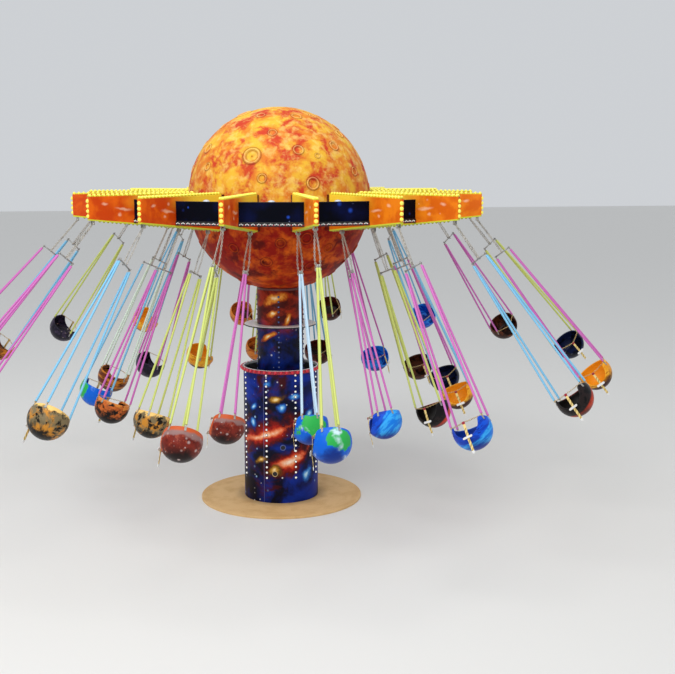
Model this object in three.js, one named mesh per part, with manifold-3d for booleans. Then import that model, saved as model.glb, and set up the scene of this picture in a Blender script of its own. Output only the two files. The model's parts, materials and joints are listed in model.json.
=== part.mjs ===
// A fairground chair swing: a round foot and drum, a lifting column, and a sun on top that turns
// sixteen arms. Each arm carries two planet seats on chains. Millimetres, +Z up, the origin on the
// floor on the turning axis. The seats stand as they fly at full speed.
import * as THREE from 'three';
import { mergeVertices } from 'three/addons/utils/BufferGeometryUtils.js';
import Module from 'manifold-3d';

const wasm = await Module();
wasm.setup();

// Between pieces that touch
const GAP = 0.3;

// The fixed foot
const DISC_RADIUS = 1950;
const DISC_HEIGHT = 50;
const DISC_EDGE = 15;
const DRUM_RADIUS = 895;
const DRUM_WALL = 15;
const DRUM_TOP = 3190;
const RIM_RADIUS = 940;
const RIM_HEIGHT = 60;
const MAST_RADIUS = 500;
const MAST_TOP = 3400;

// The column that lifts out of the drum
const COLUMN_RADIUS = 550;
const COLUMN_BOTTOM = 1700;
const COLUMN_TOP = 5100;
const COLUMN_CAP = 50;
const MAST_PLAY = 0.6;
const COLLAR_RADIUS = 860;
const COLLAR_BOTTOM = 4240;
const COLLAR_HEIGHT = 35;

// The sun and the ring that carries the arms
const SLEW_HEIGHT = 50;
const SUN_RADIUS = 2150;
const SUN_CENTRE = 7225;
const SUN_SKIN = 30;
const SUN_SIDES = 28;
const HUB_FLAT = 2208;
const HUB_WALL = 160;
const HUB_BOTTOM = 6590;
const HUB_TOP = 7385;

// The arms
const ARM_COUNT = 16;
const ARM_STEP = (2 * Math.PI) / ARM_COUNT;
const ARM_THICKNESS = 110;
const ARM_TIP = 4757;
const TIP_BOTTOM = 6860;
const TIP_TOP = 7365;
const ROOT_BOTTOM = 6585;
const ROOT_TOP = 7390;
const ARM_ROOT = HUB_FLAT + GAP;

// The dark boards between the arms, and the ring beam that they stand on
const BOARD_FLAT = 3650;
const BOARD_THICKNESS = 30;
const BOARD_TOP = 7290;
const BEAM_BOTTOM = 6785;
const BEAM_TOP = 6865;
const BEAM_DEPTH = 60;
const LAMP_RADIUS = 85;
const LAMP_SIDES = 6;
const LAMP_SINK = 5;
const LAMP_BOTTOM = 7240;
const LAMP_TOP = 7325;

// The hinge pins under each arm
const PIN_RADIUS = 12;
const PIN_SIDES = 6;
const PIN_DROP = 60;
const CHEEK_THICKNESS = 14;
const CHEEK_WIDTH = 60;
const CHEEK_OPENING = 52;
const CHEEK_SINK = 30;

// The seats, as they hang below their pins: x away from the tower, y against the travel
const EYE_RADIUS = 22;
const EYE_WIDTH = 40;
const EYE_PLAY = 0.5;
const HANGER_LENGTH = 950;
const HANGER_CHAIN = 18;
const HANGER_SINK = 6;
const HANGER_SPREAD = 42;
const SPREADER_LENGTH = 420;
const SPREADER_HEIGHT = 44;
const SPREADER_WIDTH = 60;
const SPREADER_MIDDLE = 110;
const SLEEVE = 32;
const SLEEVE_TOP_SIDE = 185;
const SLEEVE_TOP_APART = 20;
const FOOT_SIDE = 320;
const FOOT_APART = 150;
const FOOT_RISE = 90;
const BOWL_RADIUS = 385;
const BOWL_WALL = 48;
const BOWL_SIDES = 12;
const BOWL_STEPS = 4;
const BOWL_RIM = 130;
const BITE_REACH = 265;
const BITE_TILT = 15;
const LAP_CHAIN = 16;
const LAP_RISE = 155;
const STRAP_WIDTH = 50;
const STRAP_THICKNESS = 16;
const STRAP_REACH = 322;
const STRAP_TOP = 133;
const STRAP_BOTTOM = -510;

// The two rows of seats, arm 01 first. Each seat flies out by its own angle, sways ahead of its pin
// or behind it, and is turned on its chains, away from the tower where the angle is positive.
const OUTER = {
  name: 'outer',
  pivot: 4660,
  length: 4530,
  flung: [37, 36, 41, 38, 41.5, 43, 43.5, 45, 43, 42.5, 43, 41, 41.5, 41.5, 42, 37.5],
  sway: [3, 3, 4.5, -4.5, -6.5, -7, -5, -4.5, 0, 0, 3.5, 7, 3, -1, -4.5, 0],
  turned: [-8, 29, 4, -3, 6, -5, 3, 0, -6, 4, 8, -4, 5, 0, 1, 0],
};
const INNER = {
  name: 'inner',
  pivot: 2630,
  length: 4240,
  flung: [27.5, 25.5, 21.5, 22.5, 23, 25, 26, 27.5, 29.5, 27.5, 26.5, 25, 24.5, 21.5, 23.5, 28],
  sway: [1.5, 2.5, -0.5, -3.5, -6.5, -3.5, -1, -0.5, 1.5, 2.5, 4, 4, 5, 6, 3, 0],
  turned: [-8, -25, -2.5, 5.5, 0, -6, 4, 0, 0, -4, 6, 0, -5, 1, 3, 15],
};

const FINISH = {
  foot: { color: 0xc8a068, roughness: 0.7, metalness: 0 },
  print: { color: 0x1a1f4a, roughness: 0.45, metalness: 0 },
  trim: { color: 0xb01818, roughness: 0.4, metalness: 0 },
  steel: { color: 0x8d8f94, roughness: 0.4, metalness: 0.8 },
  white: { color: 0xe8e8e6, roughness: 0.4, metalness: 0 },
  nebula: { color: 0xb5471c, roughness: 0.5, metalness: 0 },
  sunLow: { color: 0xa23210, roughness: 0.55, metalness: 0 },
  sunHigh: { color: 0xe08028, roughness: 0.55, metalness: 0 },
  arm: { color: 0xe05a14, roughness: 0.45, metalness: 0 },
  board: { color: 0x0b0c22, roughness: 0.4, metalness: 0 },
};
const PLANETS = [
  0x3d66c8, 0x2a62c4, 0x3c3432, 0xd49a28, 0x1c2240, 0x4a2c20, 0x2a62c4, 0x4a1c1c,
  0xa8622c, 0xd8a23a, 0x453c52, 0xa8702c, 0x2f6fd0, 0xc46a22, 0xc89a4c, 0x9a3a26,
];

// A closed solid from any three.js geometry, with shared corners merged.
function solid(geometry) {
  const bare = geometry.clone();
  bare.deleteAttribute('normal');
  bare.deleteAttribute('uv');
  const merged = mergeVertices(bare, 0.001);
  const corners = merged.index.array;
  const triangles = [];
  for (let i = 0; i < corners.length; i += 3) {
    const [a, b, c] = [corners[i], corners[i + 1], corners[i + 2]];
    if (a !== b && b !== c && c !== a) triangles.push(a, b, c);
  }
  return new wasm.Manifold(new wasm.Mesh({
    numProp: 3,
    vertProperties: new Float32Array(merged.attributes.position.array),
    triVerts: new Uint32Array(triangles),
  }));
}

function joined(solids) {
  return solids.reduce((whole, next) => whole.add(next));
}

function mesh(name, body, finish) {
  const { vertProperties, triVerts } = body.getMesh();
  const geometry = new THREE.BufferGeometry();
  geometry.setAttribute('position', new THREE.BufferAttribute(vertProperties, 3));
  geometry.setIndex(new THREE.BufferAttribute(triVerts, 1));
  geometry.computeVertexNormals();
  const made = new THREE.Mesh(geometry, new THREE.MeshStandardMaterial(finish));
  made.name = name;
  return made;
}

// A solid of revolution about Z from [radius, height] points.
function turned(points, sides) {
  const profile = points.map(([radius, height]) => new THREE.Vector2(radius, height));
  return solid(new THREE.LatheGeometry(profile, sides).rotateX(Math.PI / 2));
}

function ring(inner, outer, bottom, top, sides) {
  const low = [outer, bottom];
  return turned([low, [outer, top], [inner, top], [inner, bottom], low], sides);
}

// A ring with flat sides at the given distances from the axis, one for each arm.
// Its corners point along the arms, or its flats where turnedBy is half a step.
function flatRing(inner, outer, bottom, top, turnedBy = 0) {
  const toCorner = 1 / Math.cos(ARM_STEP / 2);
  return ring(inner * toCorner, outer * toCorner, bottom, top, ARM_COUNT)
    .rotate([0, 0, THREE.MathUtils.radToDeg(turnedBy)]);
}

function block(width, depth, height, x, y, z) {
  return solid(new THREE.BoxGeometry(width, depth, height).translate(x, y, z));
}

// A pin along Y, as wide as its corners.
function pin(radius, length, sides) {
  return solid(new THREE.CylinderGeometry(radius, radius, length, sides));
}

// A square bar from a lower point to a higher one, its sides nearly square to X and Y.
function bar(low, high, thickness) {
  const start = new THREE.Vector3(...low);
  const end = new THREE.Vector3(...high);
  const along = end.clone().sub(start);
  const geometry = new THREE.BoxGeometry(thickness, thickness, along.length());
  geometry.applyQuaternion(new THREE.Quaternion().setFromUnitVectors(
    new THREE.Vector3(0, 0, 1), along.clone().normalize()));
  const middle = start.add(end).multiplyScalar(0.5);
  return solid(geometry.translate(middle.x, middle.y, middle.z));
}

// Points along a circle's arc about a point on the axis, between two heights.
function arc(radius, centre, fromHeight, toHeight, steps) {
  const from = Math.asin((fromHeight - centre) / radius);
  const to = Math.asin((toHeight - centre) / radius);
  return Array.from({ length: steps + 1 }, (_, i) => {
    const angle = from + ((to - from) * i) / steps;
    return [radius * Math.cos(angle), centre + radius * Math.sin(angle)];
  });
}

function baseDisc() {
  return turned([
    [0, 0],
    [DISC_RADIUS, 0],
    [DISC_RADIUS, DISC_HEIGHT - DISC_EDGE],
    [DISC_RADIUS - DISC_EDGE, DISC_HEIGHT],
    [0, DISC_HEIGHT],
  ], 40);
}

function guideMast() {
  const bottom = DISC_HEIGHT + GAP;
  return turned([[0, bottom], [MAST_RADIUS, bottom], [MAST_RADIUS, MAST_TOP], [0, MAST_TOP]], 32);
}

function towerColumn() {
  const bore = MAST_RADIUS + MAST_PLAY;
  const ceiling = COLUMN_TOP - COLUMN_CAP;
  return turned([
    [0, ceiling],
    [bore, ceiling],
    [bore, COLUMN_BOTTOM],
    [COLUMN_RADIUS, COLUMN_BOTTOM],
    [COLUMN_RADIUS, COLUMN_TOP],
    [0, COLUMN_TOP],
  ], 32);
}

function sunBottom() {
  const bottom = COLUMN_TOP + SLEW_HEIGHT + GAP;
  const top = HUB_BOTTOM - GAP;
  const inside = SUN_RADIUS - SUN_SKIN;
  const floor = bottom + 2 * SUN_SKIN;
  return turned([
    [0, bottom],
    ...arc(SUN_RADIUS, SUN_CENTRE, bottom, top, 5),
    ...arc(inside, SUN_CENTRE, top, floor, 4),
    [0, floor],
  ], SUN_SIDES);
}

function sunTop() {
  const bottom = HUB_TOP + GAP;
  const inside = SUN_RADIUS - SUN_SKIN;
  return turned([
    ...arc(inside, SUN_CENTRE, SUN_CENTRE + inside, bottom, 6),
    ...arc(SUN_RADIUS, SUN_CENTRE, bottom, SUN_CENTRE + SUN_RADIUS, 7),
  ], SUN_SIDES);
}

// The two cheeks and the pin that one seat hangs from, under an arm at this radius.
function fork(pivot, pinHeight) {
  const top = pinHeight + PIN_DROP + CHEEK_SINK;
  const bottom = pinHeight - EYE_RADIUS;
  const side = (CHEEK_OPENING + CHEEK_THICKNESS) / 2;
  const cheeks = [-side, side].map((y) => block(
    CHEEK_WIDTH, CHEEK_THICKNESS, top - bottom, pivot, y, (top + bottom) / 2));
  const length = CHEEK_OPENING + CHEEK_THICKNESS;
  return joined([...cheeks, pin(PIN_RADIUS, length, PIN_SIDES).translate([pivot, 0, pinHeight])]);
}

function armBottomAt(radius) {
  const share = (radius - ARM_ROOT) / (ARM_TIP - ARM_ROOT);
  return ROOT_BOTTOM + share * (TIP_BOTTOM - ROOT_BOTTOM);
}

function pinHeightOf(row) {
  return armBottomAt(row.pivot) - PIN_DROP;
}

function ringBeam(play) {
  const half = BEAM_DEPTH / 2 + play;
  return flatRing(BOARD_FLAT - half, BOARD_FLAT + half, BEAM_BOTTOM - play, BEAM_TOP + play);
}

// One arm along +X: a tapered box with the ring beam's window through it.
function arm() {
  const side = new THREE.Shape([
    new THREE.Vector2(ARM_ROOT, ROOT_BOTTOM),
    new THREE.Vector2(ARM_TIP, TIP_BOTTOM),
    new THREE.Vector2(ARM_TIP, TIP_TOP),
    new THREE.Vector2(ARM_ROOT, ROOT_TOP),
  ]);
  const box = new THREE.ExtrudeGeometry(side, { depth: ARM_THICKNESS, bevelEnabled: false });
  box.translate(0, 0, -ARM_THICKNESS / 2).rotateX(Math.PI / 2);
  const forks = [OUTER, INNER].map((row) => fork(row.pivot, pinHeightOf(row)));
  return joined([solid(box), ...forks]).subtract(ringBeam(GAP));
}

// The ring beam with its sixteen boards, cut clear of the arms, and a lamp behind each board.
function boardRing() {
  const half = BOARD_THICKNESS / 2;
  let boards = flatRing(BOARD_FLAT - half, BOARD_FLAT + half, BEAM_TOP - 1, BOARD_TOP);
  for (let i = 0; i < ARM_COUNT; i += 1) {
    const top = BOARD_TOP + GAP;
    const cut = block(600, ARM_THICKNESS + 2 * GAP, top - BEAM_TOP, BOARD_FLAT, 0, (top + BEAM_TOP) / 2);
    boards = boards.subtract(cut.rotate([0, 0, (i * 360) / ARM_COUNT]));
  }
  const lampReach = LAMP_RADIUS * Math.cos(Math.PI / LAMP_SIDES) - LAMP_SINK;
  const lamps = Array.from({ length: ARM_COUNT }, (_, i) => turned([
    [0, LAMP_BOTTOM],
    [LAMP_RADIUS, LAMP_BOTTOM],
    [LAMP_RADIUS, LAMP_TOP],
    [0, LAMP_TOP],
  ], LAMP_SIDES).translate([BOARD_FLAT - half - lampReach, 0, 0])
    .rotate([0, 0, ((i + 0.5) * 360) / ARM_COUNT]));
  return joined([ringBeam(0), boards, ...lamps]);
}

// A round bowl with a level rim, bitten out in front by a steep plane for the rider's legs.
function bowl() {
  const inside = BOWL_RADIUS - BOWL_WALL;
  const shell = turned([
    ...arc(BOWL_RADIUS, 0, -BOWL_RADIUS, BOWL_RIM, BOWL_STEPS),
    ...arc(inside, 0, BOWL_RIM, -inside, BOWL_STEPS),
  ], BOWL_SIDES);
  const bite = new THREE.BoxGeometry(4 * BOWL_RADIUS, 2 * BOWL_RADIUS, 4 * BOWL_RADIUS);
  bite.translate(0, -BITE_REACH - BOWL_RADIUS, 0).rotateX(-THREE.MathUtils.degToRad(BITE_TILT));
  return shell.subtract(solid(bite));
}

// The plate that parts the two hanger chains from the four sleeves.
function spreader() {
  const outline = new THREE.Shape([
    new THREE.Vector2(-SPREADER_LENGTH / 2, -SPREADER_WIDTH / 2),
    new THREE.Vector2(0, -SPREADER_MIDDLE / 2),
    new THREE.Vector2(SPREADER_LENGTH / 2, -SPREADER_WIDTH / 2),
    new THREE.Vector2(SPREADER_LENGTH / 2, SPREADER_WIDTH / 2),
    new THREE.Vector2(0, SPREADER_MIDDLE / 2),
    new THREE.Vector2(-SPREADER_LENGTH / 2, SPREADER_WIDTH / 2),
  ]);
  const plate = new THREE.ExtrudeGeometry(outline, { depth: SPREADER_HEIGHT, bevelEnabled: false });
  return solid(plate.translate(0, 0, -HANGER_LENGTH - SPREADER_HEIGHT / 2));
}

// The block that turns on the pin, with the pin's hole along Y.
function eye() {
  const hole = (PIN_RADIUS + EYE_PLAY) / Math.cos(Math.PI / PIN_SIDES);
  return block(2 * EYE_RADIUS, EYE_WIDTH, 2 * EYE_RADIUS, 0, 0, 0)
    .subtract(pin(hole, 2 * EYE_WIDTH, PIN_SIDES));
}

// All that hangs straight down from an eye at the origin, with the bowl's centre at this depth.
function hangingSeat(length) {
  const hangers = [-1, 1].map((end) => bar(
    [0, end * HANGER_SPREAD, -HANGER_LENGTH],
    [0, end * (EYE_WIDTH - HANGER_CHAIN) / 2, -EYE_RADIUS + HANGER_SINK],
    HANGER_CHAIN));
  const sleeves = [-1, 1].flatMap((side) => [-1, 1].map((end) => bar(
    [side * FOOT_SIDE, end * FOOT_APART, FOOT_RISE - length],
    [side * SLEEVE_TOP_SIDE, end * SLEEVE_TOP_APART, -HANGER_LENGTH],
    SLEEVE)));
  const lapMiddle = [0, -STRAP_REACH, STRAP_TOP - LAP_CHAIN / 2 - length];
  const lapChains = [-1, 1].map((side) => bar(
    lapMiddle, [side * FOOT_SIDE, -FOOT_APART, LAP_RISE - length], LAP_CHAIN));
  const strap = block(STRAP_WIDTH, STRAP_THICKNESS, STRAP_TOP - STRAP_BOTTOM,
    0, -STRAP_REACH, (STRAP_TOP + STRAP_BOTTOM) / 2 - length);
  return joined([
    ...hangers, spreader(), ...sleeves, bowl().translate([0, 0, -length]), ...lapChains, strap,
  ]);
}

const numbered = (name, i) => `${name}_${String(i + 1).padStart(2, '0')}`;

const ride = new THREE.Group();
ride.add(
  mesh('base_disc', baseDisc(), FINISH.foot),
  mesh('drum_wall',
    ring(DRUM_RADIUS - DRUM_WALL, DRUM_RADIUS, DISC_HEIGHT + GAP, DRUM_TOP, 40), FINISH.print),
  mesh('drum_rim',
    ring(DRUM_RADIUS - DRUM_WALL, RIM_RADIUS, DRUM_TOP + GAP, DRUM_TOP + RIM_HEIGHT, 40), FINISH.trim),
  mesh('guide_mast', guideMast(), FINISH.steel),
  mesh('tower_column', towerColumn(), FINISH.nebula),
  mesh('collar_plate', ring(COLUMN_RADIUS + GAP, COLLAR_RADIUS, COLLAR_BOTTOM,
    COLLAR_BOTTOM + COLLAR_HEIGHT, 32), FINISH.white),
  mesh('slew_ring', turned([
    [0, COLUMN_TOP + GAP],
    [COLUMN_RADIUS, COLUMN_TOP + GAP],
    [COLUMN_RADIUS, COLUMN_TOP + SLEW_HEIGHT],
    [0, COLUMN_TOP + SLEW_HEIGHT],
  ], 32), FINISH.steel),
  mesh('sun_lower_shell', sunBottom(), FINISH.sunLow),
  mesh('arm_hub_ring',
    flatRing(HUB_FLAT - HUB_WALL, HUB_FLAT, HUB_BOTTOM, HUB_TOP, ARM_STEP / 2), FINISH.steel),
  mesh('sun_upper_shell', sunTop(), FINISH.sunHigh),
  mesh('star_board_ring', boardRing(), FINISH.board),
);

// Arm 01 points along -Y, and the count goes round to the right of someone who stands there.
const armSolid = arm();
const hanging = new Map([OUTER, INNER].map((row) => [row, hangingSeat(row.length)]));
for (let i = 0; i < ARM_COUNT; i += 1) {
  const turn = new THREE.Group();
  turn.rotation.z = i * ARM_STEP - Math.PI / 2;
  turn.add(mesh(numbered('arm', i), armSolid, FINISH.arm));
  const planet = { color: PLANETS[i], roughness: 0.35, metalness: 0 };
  for (const row of [OUTER, INNER]) {
    const swung = hanging.get(row).rotate([0, 0, row.turned[i]]).rotate([-row.sway[i], 0, 0]);
    const seat = mesh(numbered(`${row.name}_seat`, i), joined([eye(), swung]), planet);
    seat.position.set(row.pivot, 0, pinHeightOf(row));
    seat.rotation.y = -THREE.MathUtils.degToRad(row.flung[i]);
    turn.add(seat);
  }
  ride.add(turn);
}

export default ride;
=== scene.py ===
"""Looks for the chair swing ride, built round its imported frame. Metres, +Z up, floor at zero."""
import json
import math
import random

import bmesh
import bpy
from mathutils import Matrix, Vector, noise


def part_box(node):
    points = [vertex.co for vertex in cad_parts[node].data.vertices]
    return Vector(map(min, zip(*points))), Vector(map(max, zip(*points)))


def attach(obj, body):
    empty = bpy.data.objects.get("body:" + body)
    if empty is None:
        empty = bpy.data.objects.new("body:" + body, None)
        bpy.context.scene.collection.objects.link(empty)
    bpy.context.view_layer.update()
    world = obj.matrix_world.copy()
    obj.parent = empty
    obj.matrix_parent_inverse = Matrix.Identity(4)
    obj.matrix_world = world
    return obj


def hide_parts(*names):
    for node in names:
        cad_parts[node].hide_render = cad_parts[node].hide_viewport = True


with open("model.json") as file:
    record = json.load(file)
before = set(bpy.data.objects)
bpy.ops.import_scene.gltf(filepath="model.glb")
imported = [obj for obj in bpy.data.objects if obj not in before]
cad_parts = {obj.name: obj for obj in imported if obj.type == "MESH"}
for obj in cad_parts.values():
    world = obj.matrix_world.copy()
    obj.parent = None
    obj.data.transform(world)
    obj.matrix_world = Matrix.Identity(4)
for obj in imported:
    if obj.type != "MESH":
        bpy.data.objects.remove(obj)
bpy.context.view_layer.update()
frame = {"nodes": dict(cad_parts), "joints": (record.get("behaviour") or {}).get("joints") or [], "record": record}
SLOTS = {part["node"]: part["material_slot"] for part in frame["record"]["subparts"]}
JOINTS = {joint["name"]: joint for joint in frame["joints"]}

# The camera, on the bearing it looks from: degrees from -Y towards +X
CAMERA_BEARING = -8.68
CAMERA_DISTANCE = 26.759
CAMERA_HEIGHT = 8.145
CAMERA_DOWN = 8.977
CAMERA_RIGHT = 2.949
CAMERA_LENS = 59.89

# The arms and the two rows of seats. LENGTH runs from a seat's pin to the middle of its bowl. A row of
# lamps starts ROW_START out from its arm's root, and each row has its own value for how much shorter
# than the arm it is
ARMS = 16
STEP = 2 * math.pi / ARMS
ARM_ROOT = 2.2083
ARM_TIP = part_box("arm_05")[1].x
ARM_THICK = 0.11
ROOT_LOW, ROOT_HIGH = 6.585, 7.39
TIP_LOW, TIP_HIGH = 6.86, 7.365
BAR_RISE = 0.035
ARM_TOP_LAMPS, ARM_TIP_LAMPS, ARM_UNDER_LAMPS = 24, 4, 26
FORK_APART, FORK_THICK, FORK_HALF = 0.033, 0.014, 0.03
FORK_LOW, FORK_HIGH = -0.024, 0.075
BAR_HALF, BAR_SUNK, BAR_ROUND = 0.05, 0.004, 0.014
PIN_HALF, PIN_RADIUS = 0.052, 0.012
NUT_START, NUT_END, NUT_RADIUS = 0.041, 0.054, 0.02
ROW_START, TOP_ROW_SHORTER, UNDER_ROW_SHORTER = 0.08, 0.12, 0.14
TOP_LAMP_ASIDE, TOP_LAMP_RISE = 0.032, 0.024
TIP_LAMP_LOW, TIP_LAMP_STEP = 0.09, 0.108
LAMP_OFF_PIN = 0.06
LENGTH = {"outer": 4.53, "inner": 4.24}

# How far each seat sways ahead of its pin and is turned on its chains, in degrees, arm 01 first
SWAY = {
    "outer": (3, 3, 4.5, -4.5, -6.5, -7, -5, -4.5, 0, 0, 3.5, 7, 3, -1, -4.5, 0),
    "inner": (1.5, 2.5, -0.5, -3.5, -6.5, -3.5, -1, -0.5, 1.5, 2.5, 4, 4, 5, 6, 3, 0),
}
TURNED = {
    "outer": (-8, 29, 4, -3, 6, -5, 3, 0, -6, 4, 8, -4, 5, 0, 1, 0),
    "inner": (-8, -25, -2.5, 5.5, 0, -6, 4, 0, 0, -4, 6, 0, -5, 1, 3, 15),
}

# The seats, measured from the middle of the bowl: x out, y back, z up
BOWL_RADIUS = 0.385
BOWL_WALL = 0.028
BOWL_RIM = 0.13
BITE_REACH = 0.265
BITE_TILT = math.radians(15)
BITE_STEPS, RIM_STEPS = 15, 34
PAN_DEPTH = -0.215
PAN_DISH = ((0.275, -0.226), (0.2, -0.236), (0.12, -0.242), (0.03, -0.245))
FOOT = Vector((0.338, 0.15, 0.135))
SLEEVE_RADIUS = 0.023
SLEEVE_TOP_SIDE = 0.185
SLEEVE_TOP_APART = 0.02
SLEEVE_GAP_TOP, SLEEVE_GAP_LOW = 0.06, 0.045
HANGER = 0.95
SPREADER_HALF = 0.205
HANGER_SPREAD = 0.042
HANGER_APART, HANGER_DROP, HANGER_RISE, HANGER_BOW = 0.013, 0.03, 0.03, 0.02
SPREADER_RADIUS, CROSS_HALF = 0.016, 0.056
SPREADER_PLATE = Vector((0.006, 0.036, 0.026))
EYE_HALF, EYE_RADIUS = 0.02, 0.0235
TAIL_TOP, TAIL_LOW, TAIL_RISE = 0.1, 0.13, 0.02
LUG_LOW, LUG_HIGH, LUG_BOLTS = (-0.005, -0.02, -0.04), (0.005, 0.02, 0.052), (-0.024, -0.002)
LUG_DROP, GILT_RISE = 0.04, 0.058
LAP_RISE, LAP_SAG, LAP_STEPS = 0.155, 0.035, 16
STRAP_WIDTH = 0.05
STRAP_REACH = 0.338
STRAP_END = -0.51
# How far the strap bulges back from its reach, and at which height
STRAP_BULGE = ((0.022, 0.128), (0.014, 0.05), (0.006, -0.06), (-0.002, -0.15), (-0.01, -0.185),
               (-0.012, -0.225), (-0.006, -0.29), (0, -0.4), (0, STRAP_END + 0.05))
LIP_PLATE = Vector((0, -0.368, -0.19))
LIP_LEAN = math.radians(30)

# The boards between the arms
BOARD_FLAT = 3.65
BOARD_THICK = 0.03
BOARD_LOW, BOARD_HIGH = 6.865, 7.29
BOARD_EDGE = 0.014
BOARD_LAMPS = 44
BEAM_LOW, BEAM_DEPTH = 6.785, 0.06
BOARD_GAP, LIGHT_INSET, LIGHT_WAVE = 0.002, 0.02, 0.014
TRIM_HALF = 0.019
RIB_BACK, RIB_FRONT, RIB_HALF, RIB_SHARE = 0.034, 0.013, 0.012, 0.66
POST_LOW, POST_HIGH, POST_BACK, POST_RADIUS = 7.19, 7.27, 0.07, 0.06
BRACE_REACH, BRACE_HALF, BRACE_BELOW, BRACE_ABOVE = 0.12, 0.03, 0.04, 0.01

# The sun. The craters that show are bearing, rise above its middle and radius. No other crater lies
# in the band of the arms or near the poles. Both are in shares of the sun's radius from its middle
SUN_RADIUS = 2.15
SUN_CENTRE = 7.225
SUN_SIDES, CROWN_ROWS, BASE_ROWS = 320, 110, 70
SKIN_BELOW, SWELL, SWELL_SCALE = 0.012, 0.008, 5.0
CRATER_DEPTH = 0.16
CRATER_RADII = (0.06, 0.08, 0.1, 0.115, 0.16)
CRATER_TRIES = 900
CRATER_SPREAD, CRATER_GAP = 1.6, 0.12
CRATER_SIDES = 36
LARGE_CRATER = 0.15
BAND_MIDDLE, BAND_HALF, POLE_LIMIT = -0.12, 0.24, 0.93
# Where a crater's rings lie, in shares of its radius
CRATER_RINGS = (1.36, 1.28, 1.2, 1.13, 1.06, 1.0, 0.94, 0.87, 0.8, 0.7, 0.55, 0.4, 0.25, 0.18, 0.1, 0.03)
CRATERS_SEEN = [
    (-27, 28, 0.17), (5, 32, 0.105), (36, 35, 0.105), (-19, 14, 0.09), (12, 11, 0.125), (-14, 45, 0.09),
    (-33, 63, 0.09), (15, 62, 0.105), (-72, 33, 0.105), (-62, 21, 0.08), (18, 28, 0.055), (48, 18, 0.09),
    (-19, -39, 0.11), (-8, -25, 0.1), (9, -22, 0.12), (17, -43, 0.11), (27, -29, 0.09), (-42, -29, 0.1),
]

# The tower. Flat tops stop short of the axis. A port is its bearing, height and the finishes of its
# ring and its glass
NEAR_AXIS = 0.02
FOOT_SIDES, DRUM_SIDES, COLUMN_SIDES = 160, 128, 96
DRUM_RADIUS = 0.895
DRUM_WALL = 0.015
DRUM_INNER = DRUM_RADIUS - DRUM_WALL
DRUM_LOW, DRUM_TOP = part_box("drum_wall")[0].z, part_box("drum_wall")[1].z
RIM_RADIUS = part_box("drum_rim")[1].x
RIM_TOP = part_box("drum_rim")[1].z
COLUMN_RADIUS = 0.55
COLUMN_LOW, COLUMN_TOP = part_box("tower_column")[0].z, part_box("tower_column")[1].z
DRUM_LAMP_BEARING, DRUM_LAMP_LOW, DRUM_LAMP_STEP, DRUM_LAMPS, DRUM_ROWS = 13.8, 0.66, 0.1305, 20, 8
COLUMN_LAMP_BEARING, COLUMN_LAMP_TOP, COLUMN_LAMP_STEP, COLUMN_LAMPS, COLUMN_ROWS = -12.5, 4.96, 0.12, 16, 4
RIM_LAMPS, RIM_LAMP_HEIGHT = 44, RIM_TOP - 0.035
PORTS = ((-6, 1.41, "dull_lamp", "navy"), (-18.5, 0.77, "brass", "dark"))
PORT_RADIUS = 0.062
PRINT_START, PRINT_END = math.radians(-105), math.radians(75)
SEAM_BEARING = -36

# The sky, and each area light's name, place, size, power and colour
SKY_COLOUR, SKY_STRENGTH = (0.93, 0.96, 1.0, 1), 0.66
AREA_LIGHTS = (
    ("overcast", (-6, -10, 26), 22, 3900, (1.0, 0.99, 0.96)),
    ("front fill", (-14, -26, 14), 12, 1300, (0.95, 0.97, 1.0)),
)
LIGHT_AIM = Vector((0, 0, 4))
FLOOR_HALF, FLOOR_DEPTH = 160, -0.003

# Lamps, as (radius, how far they stand out)
DRUM_SOCKET, DRUM_LIFT, DRUM_BULB = (0.036, 0.008), 0.006, (0.026, 0.022)
COLUMN_SOCKET, COLUMN_LIFT, COLUMN_BULB = (0.03, 0.006), 0.005, (0.022, 0.018)
RIM_BULB, TOP_BULB, TIP_BULB, UNDER_BULB = (0.042, 0.036), (0.028, 0.034), (0.047, 0.042), (0.028, 0.026)
BOARD_BULB, BOARD_DOME, BOLT_HEAD = (0.012, 0.012), (0.085, 0.058), (0.008, 0.006)

# Chains as (pitch, width, radius of the wire), and rings as (radius, radius of the wire). A link is
# longer than its pitch by this share, and its corners are round by this share of its width
HANGER_CHAIN, TAIL_CHAIN, LAP_CHAIN = (0.044, 0.031, 0.006), (0.028, 0.02, 0.004), (0.034, 0.022, 0.0045)
SHACKLE, EYE_SHACKLE, GILT_LINK = (0.02, 0.006), (0.016, 0.005), (0.018, 0.006)
LINK_LONGER, LINK_ROUND = 1.15, 0.42

UP = Vector((0, 0, 1))


def linear(colour):
    """A hex colour as the linear values that shaders take."""
    shades = [(colour >> shift & 255) / 255 for shift in (16, 8, 0)]
    return [c / 12.92 if c <= 0.04045 else ((c + 0.055) / 1.055) ** 2.4 for c in shades] + [1]


def add_node(tree, kind, inputs, **settings):
    """A new node in a tree, with its inputs linked to sockets or set to values."""
    made = tree.nodes.new(kind)
    for name, value in settings.items():
        setattr(made, name, value)
    for name, value in inputs.items():
        if isinstance(value, bpy.types.NodeSocket):
            tree.links.new(value, made.inputs[name])
        else:
            made.inputs[name].default_value = value
    return made


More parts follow.
